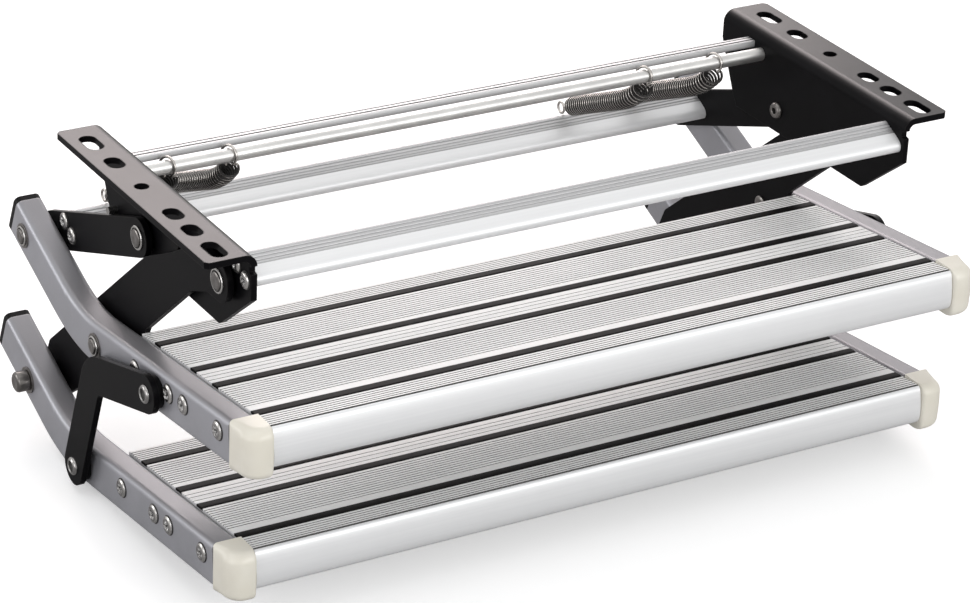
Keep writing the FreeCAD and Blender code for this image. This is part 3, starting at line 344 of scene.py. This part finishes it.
BRACKET_IN, BRACKET_OUT, LINK_IN, LINK_OUT = 284, 289, 292, 297
ARM_IN, ARM_OUT, TIE_IN, TIE_OUT = 300, 322, 327, 332
LEVER_PIVOT, LINK_PIVOT = joint_spot("lever_fold"), joint_spot("rear_link_turn")
UPPER_PIN, LOWER_PIN = joint_spot("upper_step_turn"), joint_spot("lower_step_turn")
ARM_PIN = node_spot("rear_link_studs")
UPPER_TIE, LOWER_TIE = joint_spot("tie_link_turn"), node_spot("lower_tie_pins")
REAR_BAR, SPRING_ROD = node_spot("rear_crossbar"), node_spot("spring_rod")
FRONT_BAR, MOVING_BAR = (-123.5, -20.2), (158.4, -103.2)
BAR_TILT = math.radians(27)
STEP_TILT = math.radians(6.16)
LOWER_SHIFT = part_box("lower_left_arm")[0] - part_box("upper_left_arm")[0]
STEP_START = {"upper": UPPER_PIN,
              "lower": (UPPER_PIN[0] + LOWER_SHIFT.y / MM, UPPER_PIN[1] + LOWER_SHIFT.z / MM)}


def in_step(word, along, above):
    """A point of a step's own tilted frame. The lower one is shifted as its arms are."""
    start = STEP_START[word]
    return (start[0] + along * math.cos(STEP_TILT) + above * math.sin(STEP_TILT),
            start[1] - along * math.sin(STEP_TILT) + above * math.cos(STEP_TILT))


def in_bar(bar, along, above):
    """A point of a cross bar's own tilted frame."""
    return (bar[0] + along * math.cos(BAR_TILT) - above * math.sin(BAR_TILT),
            bar[1] + along * math.sin(BAR_TILT) + above * math.cos(BAR_TILT))


# Mesh helpers. Meshes are in metres, in the row's frame

def new_piece(name, bm, finish, body, *nodes):
    """Finish a mesh, and let it stand for its CAD nodes and ride on their body."""
    bmesh.ops.recalc_face_normals(bm, faces=bm.faces)
    mesh = bpy.data.meshes.new(name)
    bm.to_mesh(mesh)
    bm.free()
    thing = bpy.data.objects.new(name, mesh)
    bpy.context.scene.collection.objects.link(thing)
    mesh.materials.append(FINISH[finish])
    # The record's slot for a finish is worked out here, but not kept
    finish if finish in SLOT.values() else "extruded_aluminium"
    if nodes:
        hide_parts(*nodes)
    if body:
        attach(thing, body)
    return thing


def smooth(thing, angle):
    """Smooth faces, with sharp edges kept above an angle in degrees."""
    bm = bmesh.new()
    bm.from_mesh(thing.data)
    for face in bm.faces:
        face.smooth = True
    for edge in bm.edges:
        edge.smooth = (len(edge.link_faces) != 2
                       or edge.calc_face_angle(0) < math.radians(angle))
    bm.to_mesh(thing.data)
    bm.free()


def tube(bm, spots, radius, sides):
    """A round wire through the spots, as a grid of rings carried along without twist."""
    rings = []
    normal = None
    for i, spot in enumerate(spots):
        along = (spots[min(i + 1, len(spots) - 1)] - spots[max(i - 1, 0)]).normalized()
        if normal is None:
            normal = along.orthogonal().normalized()
        normal = (normal - along * normal.dot(along)).normalized()
        other = along.cross(normal)
        rings.append([bm.verts.new(
            spot + (normal * math.cos(a) + other * math.sin(a)) * radius)
            for a in (math.tau * k / sides for k in range(sides))])
    join_rings(bm, rings)


def join_rings(bm, rings):
    """Faces between rings of equal count, and over both ends."""
    count = len(rings[0])
    for ring, after in zip(rings, rings[1:]):
        for k in range(count):
            m = (k + 1) % count
            bm.faces.new((ring[k], ring[m], after[m], after[k]))
    bm.faces.new(rings[0])
    bm.faces.new(rings[-1])


# Return springs

SPRING_FALL = math.radians(24.6)
ROD = Vector((0, SPRING_ROD[0] * MM, SPRING_ROD[1] * MM))
ALONG = Vector((0, math.cos(SPRING_FALL), -math.sin(SPRING_FALL)))
ABOVE = Vector((0, math.sin(SPRING_FALL), math.cos(SPRING_FALL)))
ACROSS = Vector((1, 0, 0))
WIRE, WIRE_SIDES = 1.05 * MM, 10
COIL, COIL_LEVEL, COIL_STEPS = 7.4 * MM, -16.8 * MM, 16
CLOSE_PITCH, FANNED_PITCH, FAN_REACH = 3.1 * MM, 5.4 * MM, 16 * MM
TAPER, TAPER_LENGTH = 0.45, 6 * MM
CURVE, CURVE_ANGLE = 90 * MM, math.radians(23.6)
CURVE_FROM, COIL_END = 40 * MM, 118 * MM
HOOK, HOOK_SHIFT, HOOK_ANGLES, HOOK_TILT = 7.9 * MM, 0.9 * MM, (-58, 252), 0.35
LOOP, LOOP_AT, LOOP_ANGLES = 4.7 * MM, 131.6 * MM, (152, -230)
LIT_SIDE = -0.8


def coil_line(distance):
    """Centre and direction of the coil at a distance from its hook end."""
    arc = CURVE * CURVE_ANGLE
    if distance < arc:
        angle = CURVE_ANGLE - distance / CURVE
        u = CURVE_FROM - CURVE * math.sin(angle)
        v = COIL_LEVEL + CURVE * (1 - math.cos(angle))
        return ROD + ALONG * u + ABOVE * v, ALONG * math.cos(angle) - ABOVE * math.sin(angle)
    return ROD + ALONG * (CURVE_FROM + distance - arc) + ABOVE * COIL_LEVEL, ALONG.copy()


def bridge(before, after, steps=9):
    """Points of a smooth run from the end of one line to the start of the next."""
    start, end = before[-1], after[0]
    reach = (end - start).length * 0.9
    leaving = (start - before[-2]).normalized() * reach
    arriving = (after[1] - end).normalized() * reach
    points = []
    for k in range(1, steps):
        t = k / steps
        points.append(start * (2 * t ** 3 - 3 * t ** 2 + 1) + leaving * (t ** 3 - 2 * t ** 2 + t)
                      + end * (3 * t ** 2 - 2 * t ** 3) + arriving * (t ** 3 - t ** 2))
    return points


def ring_part(centre, radius, angles, steps=30):
    """An arc in the spring's own plane, from one angle to another in degrees."""
    first, last = angles
    return [centre + (ALONG * math.cos(a) + ABOVE * math.sin(a)) * radius
            for a in (math.radians(first + (last - first) * k / steps) for k in range(steps + 1))]


def coil_turns(lean):
    """The wire of a coil that fans out at its hook end, and the line through its turns."""
    length = CURVE * CURVE_ANGLE + COIL_END - CURVE_FROM
    wire, axis = [], []
    distance, angle = 0.0, math.pi / 2
    while distance < length:
        centre, direction = coil_line(distance)
        centre += ACROSS * lean * distance / length
        taper = 1 - TAPER * max(0.0, 1 - (length - distance) / TAPER_LENGTH)
        wire.append(centre + (direction.cross(ACROSS) * math.cos(angle)
                              + ACROSS * math.sin(angle)) * COIL * taper)
        axis.append(centre)
        pitch = CLOSE_PITCH + (FANNED_PITCH - CLOSE_PITCH) * math.exp(-distance / FAN_REACH)
        distance += pitch / COIL_STEPS
        angle -= math.tau / COIL_STEPS
    return wire, axis


def make_spring(name, x, lean):
    """One wire: a hook round the rod, a coil that fans out under it, and an end loop."""
    hook = [spot - ACROSS * HOOK_TILT * (spot - ROD).dot(ALONG)
            for spot in ring_part(ROD + ALONG * HOOK_SHIFT, HOOK, HOOK_ANGLES)]
    coil, axis = coil_turns(lean)
    loop = ring_part(ROD + ALONG * LOOP_AT + ABOVE * COIL_LEVEL + ACROSS * lean, LOOP, LOOP_ANGLES)
    lead = hook + bridge(hook, coil)
    shift = ACROSS * x
    spots = [spot + shift for spot in lead + coil + bridge(coil, loop) + loop]
    bm = bmesh.new()
    tube(bm, spots, WIRE, WIRE_SIDES)
    bm.faces.ensure_lookup_table()
    # Only the wire's faces that look straight out from the coil keep the steel, and the rest of each turn takes
    # painted shade
    for i, (middle, after) in enumerate(zip(axis, axis[1:]), len(lead)):
        wire_centre = (spots[i] + spots[i + 1]) / 2
        inward = ((middle + after) / 2 + shift - wire_centre).normalized()
        for face in bm.faces[i * WIRE_SIDES:(i + 1) * WIRE_SIDES]:
            turned_in = (face.calc_center_median() - wire_centre).normalized().dot(inward)
            face.material_index = 1 if turned_in > LIT_SIDE else 0
    thing = new_piece(name + "_wire", bm, "spring_steel", None, name + "_spring")
    thing.data.materials.append(FINISH["coil_inner_shade"])
    smooth(thing, 70)
    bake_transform(thing)


for word, x, lean in (("left_outer", -0.258, -0.001), ("left_inner", -0.206, -0.003),
                      ("right_inner", 0.170, -0.007), ("right_outer", 0.238, -0.007)):
    make_spring(word, x, lean)
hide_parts("spring_end_loops")


# Turned pieces: pins, rivets and screws, each drawn as a profile of (x, radius) in millimetres

# Second and third finishes of turned pieces: painted shade, and painted highlight
SHADED, TURN_FINISHES = 1, ("recess_shade", "highlit_rim")
SCREW_RECESS, PLANK_SCREW_RECESS = (3.4, 1.0), (3.7, 1.1)
ROUND_SEGMENTS, SCREW_SEGMENTS = 32, 48
CROSS_ARM = 108


def lathe(bm, profile, y, z, side, segments, recess):
    """Turn a profile about a line along X, with a crossed recess of a radius, depth and turn.

    A third number marks a ring of the profile as in painted shade, 1, or painted highlight, 2.
    """
    rings = []
    tone = {}
    for x, radius, *shade in profile:
        if radius < 0.01:
            rings.append([bm.verts.new((side * x * MM, y * MM, z * MM))])
            tone[rings[-1][0]] = SHADED if recess else sum(shade)
            continue
        ring = []
        for k in range(segments):
            angle = math.tau * k / segments
            depth = 0.0
            if recess and radius <= recess[0]:
                near = abs((math.degrees(angle) + 45 - recess[2]) % 90 - 45)
                depth = recess[1] if near < CROSS_ARM / (radius + 0.8) else 0.0
            ring.append(bm.verts.new((
                side * (x - depth) * MM, (y + radius * math.cos(angle)) * MM,
                (z + radius * math.sin(angle)) * MM)))
            tone[ring[-1]] = SHADED if depth else sum(shade)
        rings.append(ring)
    for ring, after in zip(rings, rings[1:]):
        for k in range(segments):
            m = (k + 1) % segments
            if len(ring) == 1:
                corners = (ring[0], after[k], after[m])
            elif len(after) == 1:
                corners = (ring[k], ring[m], after[0])
            else:
                corners = (ring[k], ring[m], after[m], after[k])
            face = bm.faces.new(corners)
            face.material_index = min(tone[corner] for corner in corners)


def turned_set(node, body, finish, profile, spots, recess=None):
    """The same turned piece at several spots, on both sides of the step."""
    bm = bmesh.new()
    for side in (1, -1):
        for i, (y, z) in enumerate(spots):
            cross = (*recess, (17 + 31 * i + 23 * side) % 90) if recess else None
            lathe(bm, profile, y, z, side, SCREW_SEGMENTS if recess else ROUND_SEGMENTS, cross)
    thing = new_piece(node + "_turned", bm, finish, body, node)
    for second in TURN_FINISHES:
        thing.data.materials.append(FINISH[second])
    smooth(thing, 38)


def screw(seat, inner, radius=6.5, height=2.4, shank=2.5):
    """A screw from its inner end out: a shank, then a button head with a rolled rim and a dish."""
    # The first rings make a thin ring of painted shadow round the seat, and the rim rings carry a painted
    # highlight
    head = [(0, 1.1, 1), (0.1, 1.1, 1), (0.12, 1, 1), (0.3, 1, 2), (0.45, 1, 2), (0.68, 0.92, 2),
            (0.88, 0.8, 2), (1, 0.62), (1, 0.56), (0.97, 0.5), (0.94, 0.3), (0.6, 0.12), (0.5, 0)]
    return [(inner, 0), (inner, shank), (seat, shank)] + [
        (seat + height * out, radius * across, *shade) for out, across, *shade in head]


def pin_head(seat, radius, height=2.3):
    """The outer end of a pivot: a washer-like rim round a raised flat button."""
    # The rim rings carry a painted highlight, and the groove inside the rim painted shade
    head = [(0, 1, 2), (0.3, 1, 2), (0.5, 0.95, 2), (0.5, 0.85, 2), (0.2, 0.81, 1), (0.2, 0.74, 1),
            (0.7, 0.72), (0.92, 0.66), (1, 0.56), (1, 0.2), (0.9, 0.1), (0.9, 0)]
    return [(seat + height * out, radius * across, *shade) for out, across, *shade in head]


PIN, PIN_INNER_HEAD = 5, 7
PIN_SEAT, LINK_SEAT = ARM_OUT + 1.4, LINK_OUT + 0.2
LEVER_FACE = LINK_IN - 0.2
LEVER_HEAD = LEVER_FACE - 2.2
TIE_PIN = 4.5
# The hollow mouth of a tie pin, in painted shade inside
TIE_PIN_MOUTH = [(334.4, 5.4), (334.3, 4.9), (333.6, 4.6, 1), (332.8, 4.4, 1), (332.8, 0, 1)]
BAR_SCREW_OFFSET = 7.84
PLANK_SCREW_PLACES, PLANK_SCREW_LEVEL = (-73, -130, -155.3, -212), 5

# Each pivot's hollow inner end is in painted shade
turned_set("bracket_pivot_pins", "mounting_frame", "dark_steel", [
    (286, 0, 1), (286, 2.5, 1), (281.4, 2.7, 1), (281, 3.2), (281, 5.4), (281.6, 6.1),
    (283, PIN_INNER_HEAD), (BRACKET_IN, PIN_INNER_HEAD), (BRACKET_IN, PIN), (LINK_SEAT, PIN)]
    + pin_head(LINK_SEAT, 9.7), (LEVER_PIVOT, LINK_PIVOT))
turned_set("upper_lever_pins", "levers", "dark_steel", [
    (LEVER_HEAD, 0), (LEVER_HEAD, 3.2), (LEVER_HEAD, 5.4), (LEVER_HEAD + 1, PIN_INNER_HEAD),
    (LEVER_FACE, PIN_INNER_HEAD), (LEVER_FACE, PIN), (PIN_SEAT, PIN)]
    + pin_head(PIN_SEAT, 8), (UPPER_PIN,))
turned_set("upper_link_pins", "upper_step", "dark_steel", [
    (ARM_IN + 0.2, 0), (ARM_IN + 0.2, PIN), (PIN_SEAT, PIN)] + pin_head(PIN_SEAT, 8), (ARM_PIN,))
turned_set("lower_lever_bolts", "levers", "dark_steel", [
    (LEVER_HEAD, 0), (LEVER_HEAD, 5.4), (LEVER_HEAD + 1, PIN_INNER_HEAD),
    (LEVER_FACE, PIN_INNER_HEAD), (LEVER_FACE, PIN), (323.7, PIN), (323.7, 8), (324, 8.5),
    (331.9, 8.5), (332.9, 8), (333.5, 7.2), (334.1, 6.2), (334.2, 4.6), (333.9, 3.9),
    (334.0, 0)], (LOWER_PIN,))
turned_set("upper_tie_pins", "upper_step", "plated_steel", [
    (316, 0), (316, TIE_PIN), (332.2, TIE_PIN), (332.2, 7.5), (333, 7.4), (333.9, 6.6)]
    + TIE_PIN_MOUTH, (UPPER_TIE,))
turned_set("lower_tie_pins", "tie_links", "plated_steel", [
    (TIE_IN, 0), (TIE_IN, TIE_PIN), (TIE_OUT, TIE_PIN), (TIE_OUT, 7.5), (332.9, 7.4), (333.8, 6.6)]
    + TIE_PIN_MOUTH, (LOWER_TIE,))
turned_set("crossbar_screws", "mounting_frame", "plated_steel", screw(BRACKET_OUT, 272),
           (in_bar(FRONT_BAR, BAR_SCREW_OFFSET, 0), in_bar(FRONT_BAR, -BAR_SCREW_OFFSET, 0),
            SPRING_ROD), SCREW_RECESS)
turned_set("rear_crossbar_rivets", "mounting_frame", "plated_steel", [
    (272, 0), (272, 1.2), (BRACKET_OUT, 1.2), (BRACKET_OUT, 3.4), (289.7, 3.3), (290.3, 2.5),
    (290.6, 1.2), (290.6, 0)], (REAR_BAR,))
turned_set("moving_crossbar_screws", "rear_links", "plated_steel", screw(LINK_OUT, 280),
           (in_bar(MOVING_BAR, BAR_SCREW_OFFSET, 0), in_bar(MOVING_BAR, -BAR_SCREW_OFFSET, 0)),
           SCREW_RECESS)
for word in STEP_START:
    turned_set(word + "_plank_screws", word + "_step", "plated_steel", screw(ARM_OUT, 286, 7.2),
               [in_step(word, along, PLANK_SCREW_LEVEL) for along in PLANK_SCREW_PLACES],
               PLANK_SCREW_RECESS)


# Extruded pieces: an outline of (y, z) in millimetres, drawn along X

def extruded(name, outline, half, finishes, body, nodes, place, which=lambda a, b: 0):
    """Draw an outline along X. A rule picks each face's finish from its two corners."""
    bm = bmesh.new()
    near, far = ([bm.verts.new((x * MM, y * MM, z * MM)) for y, z in
                  (place(*corner) for corner in outline)] for x in (-half, half))
    count = len(outline)
    for k in range(count):
        m = (k + 1) % count
        bm.faces.new((near[k], far[k], far[m], near[m])).material_index = which(
            outline[k], outline[m])
    bm.faces.new(near)
    bm.faces.new(far)
    thing = new_piece(name, bm, finishes[0], body, *nodes)
    for finish in finishes[1:]:
        thing.data.materials.append(FINISH[finish])
    smooth(thing, 30)


def groove(line, width, depth, level):
    """The points of a groove that faces up, at a place along the outline, going forward."""
    w = width / 2
    return [(line + w + 0.25, level), (line + w, level - 0.2), (line + w * 0.7, level - depth),
            (line - w * 0.7, level - depth), (line - w, level - 0.2), (line - w - 0.25, level)]


TREAD_FINISHES = ["tread_aluminium", "groove_shade", "extruded_aluminium", "recess_shade"]
SHADE, SMOOTH, DARK = 1, 2, 3
TREAD_TOP, PLANK_REACH = 18, ARM_IN - 0.6
RIB_GROOVE, LINE_GROOVE, NOSE_GROOVE = (1.3, 0.9), (1.0, 0.8), (1.3, 1.1)
STRIP_WIDTH, STRIP_DEPTH = 11, 2
STRIP_FRONTS = (-71, -132, -168, -231)
NOSE_GROOVE_AT, NOSE_START, RIBS_END = -248.2, -250, -41
LIP_FRONT, LIP_REAR = -252.6, -250.9


def ribbed(first, last, pitch):
    """A row of rib grooves, from a rear place to a front place."""
    points = []
    for i in range(int((first - last) / pitch + 0.01) + 1):
        points += groove(first - i * pitch, *RIB_GROOVE, TREAD_TOP)
    return points


def channel(front):
    """The seat of a grip strip, with its front end at the given place, going forward."""
    rear, floor_level = front + STRIP_WIDTH, TREAD_TOP - STRIP_DEPTH
    return [(rear, TREAD_TOP), (rear, floor_level), (front, floor_level), (front, TREAD_TOP)]


def tread_face(a, b):
    """The finish of a face: shaded in the grooves, dark at the nose's groove and lip."""
    front, rear = min(a[0], b[0]), max(a[0], b[0])
    low, high = min(a[1], b[1]), max(a[1], b[1])
    sunk = high < TREAD_TOP - 0.15
    if sunk and NOSE_GROOVE_AT - 0.9 < front and rear < NOSE_GROOVE_AT + 0.9:
        return DARK
    if sunk and low > TREAD_TOP - 1.6 and NOSE_START < a[0] < RIBS_END:
        return SHADE
    if LIP_FRONT < front and rear < LIP_REAR:
        return DARK
    return SMOOTH if a[0] < NOSE_START else 0


def make_tread(word):
    """Two planks and four grip strips, in the step's own frame."""
    def place(y, z):
        return in_step(word, y, z)
    body = word + "_step"
    rear = [(-38, -6), (-38, 16.5), (-38.6, 17.6), (-39.5, TREAD_TOP)]
    rear += ribbed(-43, -57, 3.5) + channel(STRIP_FRONTS[0])
    rear += ribbed(-74.5, -114, 3.95) + channel(STRIP_FRONTS[1])
    rear += groove(-138.6, *LINE_GROOVE, TREAD_TOP) + groove(-144.6, *LINE_GROOVE, TREAD_TOP)
    rear += [(-146.9, TREAD_TOP), (-147.4, 17.6), (-147.4, -6)]
    extruded(word + "_rear_board", rear, PLANK_REACH, TREAD_FINISHES, body,
             [word + "_rear_plank"], place, tread_face)
    front = [(-148, -6), (-148, 17.6), (-148.5, TREAD_TOP)]
    front += groove(-151.5, *LINE_GROOVE, TREAD_TOP) + channel(STRIP_FRONTS[2])
    front += ribbed(-171.5, -210, 3.85) + channel(STRIP_FRONTS[3])
    front += ribbed(-233.8, -244.8, 3.66)
    front += groove(NOSE_GROOVE_AT, *NOSE_GROOVE, TREAD_TOP)
    front += [(-251, TREAD_TOP), (-251.5, 17.2), (-252.1, 16.9), (-252.5, 17.3), (-253.3, 16.9),
              (-254.2, 16), (-254.8, 14.9), (-255.3, 13), (-255.7, 9), (-256, 4.5), (-256, -0.5),
              (-255.8, -5.5), (-255.2, -9), (-254.1, -12), (-252.3, -14.2), (-249.8, -15.3),
              (-247, -15.5), (-231.5, -15.5), (-230.3, -15), (-230, -13.8), (-230, -6)]
    extruded(word + "_front_board", front, PLANK_REACH, TREAD_FINISHES, body,
             [word + "_front_plank"], place, tread_face)
    for i, at in enumerate(STRIP_FRONTS):
        strip = [(at + 10.8, 16.02), (at + 10.8, 17.7), (at + 10.4, 18.1), (at + 7, 18.35),
                 (at + 4, 18.3), (at + 2.6, 18.05), (at + 2.2, 17.3), (at + 1.6, 16.6),
                 (at + 0.2, 16.5), (at + 0.2, 16.02)]
        nodes = [word + "_grip_strips"] if i == 0 else []
        extruded(f"{word}_grip_strip_{i + 1}", strip, PLANK_REACH - 0.1, ["black_rubber"], body,
                 nodes, place)


for word in STEP_START:
    make_tread(word)

BAR_TOP = 5.25


def make_bar_piece(name, bar, half, body, node):
    """A cross bar: three grooves and a ledge behind, and a smooth rounded nose in front."""
    outline = [(14, -3.2), (14, 3.2), (13.6, 4.5), (12.4, 5.1), (11, BAR_TOP)]
    for at in (9.2, 6.2, 3.2):
        outline += groove(at, 0.9, 0.7, BAR_TOP)
    outline += [(1.2, BAR_TOP), (0.9, 4.75), (0.2, 4.7), (-0.1, BAR_TOP + 0.05), (-4, BAR_TOP),
                (-8, BAR_TOP - 0.1), (-10.2, 4.75), (-11.9, 3.85), (-13.1, 2.5), (-13.8, 0.9),
                (-14, -0.8), (-13.6, -2.4), (-12.5, -3.9), (-10.8, -4.9), (-8.8, -BAR_TOP),
                (10.8, -BAR_TOP), (12.6, -4.9), (13.7, -4)]

    def nose_face(a, b):
        return 1 if a[0] < 0 and a[1] > -4.5 else 0
    extruded(name, outline, half, ["grooved_aluminium", "extruded_aluminium"], body, [node],
             lambda y, z: in_bar(bar, y, z), nose_face)


make_bar_piece("front_bar", FRONT_BAR, BRACKET_IN, "mounting_frame", "front_crossbar")
make_bar_piece("moving_bar", MOVING_BAR, LINK_IN, "rear_links", "moving_crossbar")


def make_rear_bar():
    """The small rear bar, with two grooves on top."""
    top = 3
    outline = [(5.5, -2), (5.5, 2.2), (5, 2.8), (4.2, top)]
    for at, width in ((2.1, 1.2), (-2.4, 1.7)):
        outline += groove(at, width, 0.9, top)
    outline += [(-4.2, top), (-5.1, 2.8), (-5.5, 2.1), (-5.5, -2), (-5, -2.8), (-4.2, -top),
                (4.2, -top), (5, -2.8)]

    def groove_face(a, b):
        return 1 if max(a[1], b[1]) < 2.85 and min(a[1], b[1]) > 1.9 and abs(a[0]) < 4 else 0
    extruded("rear_bar", outline, BRACKET_IN, ["grooved_aluminium", "recess_shade"],
             "mounting_frame", ["rear_crossbar"],
             lambda y, z: (REAR_BAR[0] + y, REAR_BAR[1] + z), groove_face)


make_rear_bar()


# Nose caps: moulded blocks, square where they meet the arm and softly rounded everywhere else

CAP_SIDE_ROUND, CAP_INNER_ROUND, CAP_BACK_ROUND = 14 * MM, 3 * MM, 3 * MM
CAP_LOWER_ROUND, CAP_UPPER_ROUND = 6.5 * MM, 8 * MM
CAP_CROWN = 0.9 * MM
CAP_ROUND_STEPS, CAP_MIDDLE_STEPS, CAP_INNER_STEPS, CAP_SIDE_STEPS = 9, 6, 4, 12


def quarter(start, steps):
    """Angles of a quarter turn from a start in degrees, as radians."""
    return [math.radians(start + 90 * k / steps) for k in range(steps + 1)]


def inset_at(depth, radius):
    """How far a round edge stands back, at a depth from the face that it runs into."""
    if depth >= radius:
        return 0.0
    return radius - math.sqrt(max(0.0, radius ** 2 - (radius - depth) ** 2))


def cap_levels(low, high):
    """Heights of the cap's sections, close together where its edges are round."""
    turns = quarter(0, CAP_ROUND_STEPS)
    lower = [low + CAP_LOWER_ROUND * (1 - math.cos(turn)) for turn in turns]
    upper = [high - CAP_UPPER_ROUND * (1 - math.cos(turn)) for turn in reversed(turns)]
    middle = [lower[-1] + (upper[0] - lower[-1]) * k / CAP_MIDDLE_STEPS
              for k in range(1, CAP_MIDDLE_STEPS)]
    return lower + middle + upper


def cap_section(low, high, height):
    """One level of a cap: its distance from the row's middle, and its place front to back."""
    below, above = height - low.z, high.z - height
    front = inset_at(below, CAP_LOWER_ROUND) + inset_at(above, CAP_UPPER_ROUND)
    front += CAP_CROWN * (2 * below / (high.z - low.z) - 1) ** 2
    back = inset_at(below, CAP_BACK_ROUND) + inset_at(above, CAP_BACK_ROUND)
    side = CAP_SIDE_ROUND - front / 2
    inner, outer, nose = low.x + CAP_INNER_ROUND, high.x - front - side, low.y + front
    points = [(low.x, high.y)]
    for turn in quarter(180, CAP_INNER_STEPS):
        points.append((inner + CAP_INNER_ROUND * math.cos(turn),
                       nose + CAP_INNER_ROUND * (1 + math.sin(turn))))
    for turn in quarter(270, CAP_SIDE_STEPS):
        points.append((outer + side * math.cos(turn), nose + side * (1 + math.sin(turn))))
    return points + [(high.x - back, high.y)]


def make_cap(word, hand, side):
    """A nose cap as high and as deep as the CAD's, from the arm's end forward."""
    low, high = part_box(f"{word}_{hand}_nose_cap")
    low.x, high.x = sorted((abs(low.x), abs(high.x)))
    high.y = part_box(f"{word}_{hand}_arm")[0].y
    bm = bmesh.new()
    join_rings(bm, [[bm.verts.new((side * x, y, height)) for x, y in cap_section(low, high, height)]
                    for height in cap_levels(low.z, high.z)])
    thing = new_piece(f"{word}_{hand}_cap", bm, "cream_plastic", word + "_step",
                      f"{word}_{hand}_nose_cap")
    smooth(thing, 40)


for word in STEP_START:
    make_cap(word, "left", -1)
    make_cap(word, "right", 1)


# Studio

BACKDROP, ROOM_LIGHT = 1.0, 0.45


def light_room():
    """A white backdrop to the eye and in reflections, and a duller room light on the step."""
    world = bpy.data.worlds.new("studio")
    bpy.context.scene.world = world
    world.use_nodes = True
    tree = world.node_tree
    wire = Wire(tree)
    path = wire.add("LightPath")
    seen = [Wire(tree, path.node.outputs[name]) for name in (
        "Is Camera Ray", "Is Glossy Ray", "Is Transmission Ray")]
    straight = (seen[0] + seen[1] + seen[2]).clamped()
    background = tree.nodes["Background"]
    background.inputs["Color"].default_value = (1, 1, 1, 1)
    strength = straight * (BACKDROP - ROOM_LIGHT) + ROOM_LIGHT
    tree.links.new(strength.socket, background.inputs["Strength"])


def softbox(name, spot, aim, width, height, power, tint=(1, 1, 1)):
    """A rectangular lamp that looks at a point."""
    lamp = bpy.data.lights.new(name, "AREA")
    lamp.color = tint
    lamp.shape = "RECTANGLE"
    lamp.size, lamp.size_y, lamp.energy = width, height, power
    thing = bpy.data.objects.new(name, lamp)
    thing.location = spot
    thing.rotation_euler = (Vector(aim) - Vector(spot)).to_track_quat("-Z", "Y").to_euler()
    bpy.context.scene.collection.objects.link(thing)


light_room()
softbox("overhead", (-0.3, 0.2, 2.2), (0, 0, -0.15), 2.4, 2.0, 10)
softbox("from_behind", (0.75, 2.2, 1.25), (0, 0, -0.1), 2.0, 1.0, 36, (1, 0.9, 0.89))
softbox("from_front", (0.6, -2.6, 0.9), (0, 0, -0.15), 2.2, 1.2, 34)
softbox("from_left", (-1.5, 0.9, 0.25), (-0.32, 0.18, -0.1), 0.7, 0.6, 5)
softbox("beside", (-2.0, -0.8, 0.4), (-0.33, -0.1, -0.15), 1.2, 1.0, 9, (0.98, 0.97, 1))

FLOOR_SIZE, FLOOR_GAP = 6, 2 * MM


def lay_floor():
    """A plain pale floor, just under the step."""
    bm = bmesh.new()
    bmesh.ops.create_grid(bm, x_segments=2, y_segments=2, size=FLOOR_SIZE)
    mesh = bpy.data.meshes.new("floor")
    bm.to_mesh(mesh)
    bm.free()
    floor = bpy.data.objects.new("floor", mesh)
    floor.location.z = cad_low.z - FLOOR_GAP
    bpy.context.scene.collection.objects.link(floor)
    material, wire, shader = new_material("pale_floor")
    seen = wire.add("LightPath", output="Is Camera Ray")
    pale = mixed(wire, grain(wire, 3, 2), (0.44, 0.44, 0.44), (0.48, 0.48, 0.48))
    settle(wire, shader, {
        "Base Color": mixed(wire, seen, pale, (0.9, 0.9, 0.9)),
        "Emission Color": mixed(wire, seen, (0, 0, 0), (0.36, 0.36, 0.36))},
        Roughness=0.9, Emission_Strength=1.0)
    mesh.materials.append(material)


lay_floor()
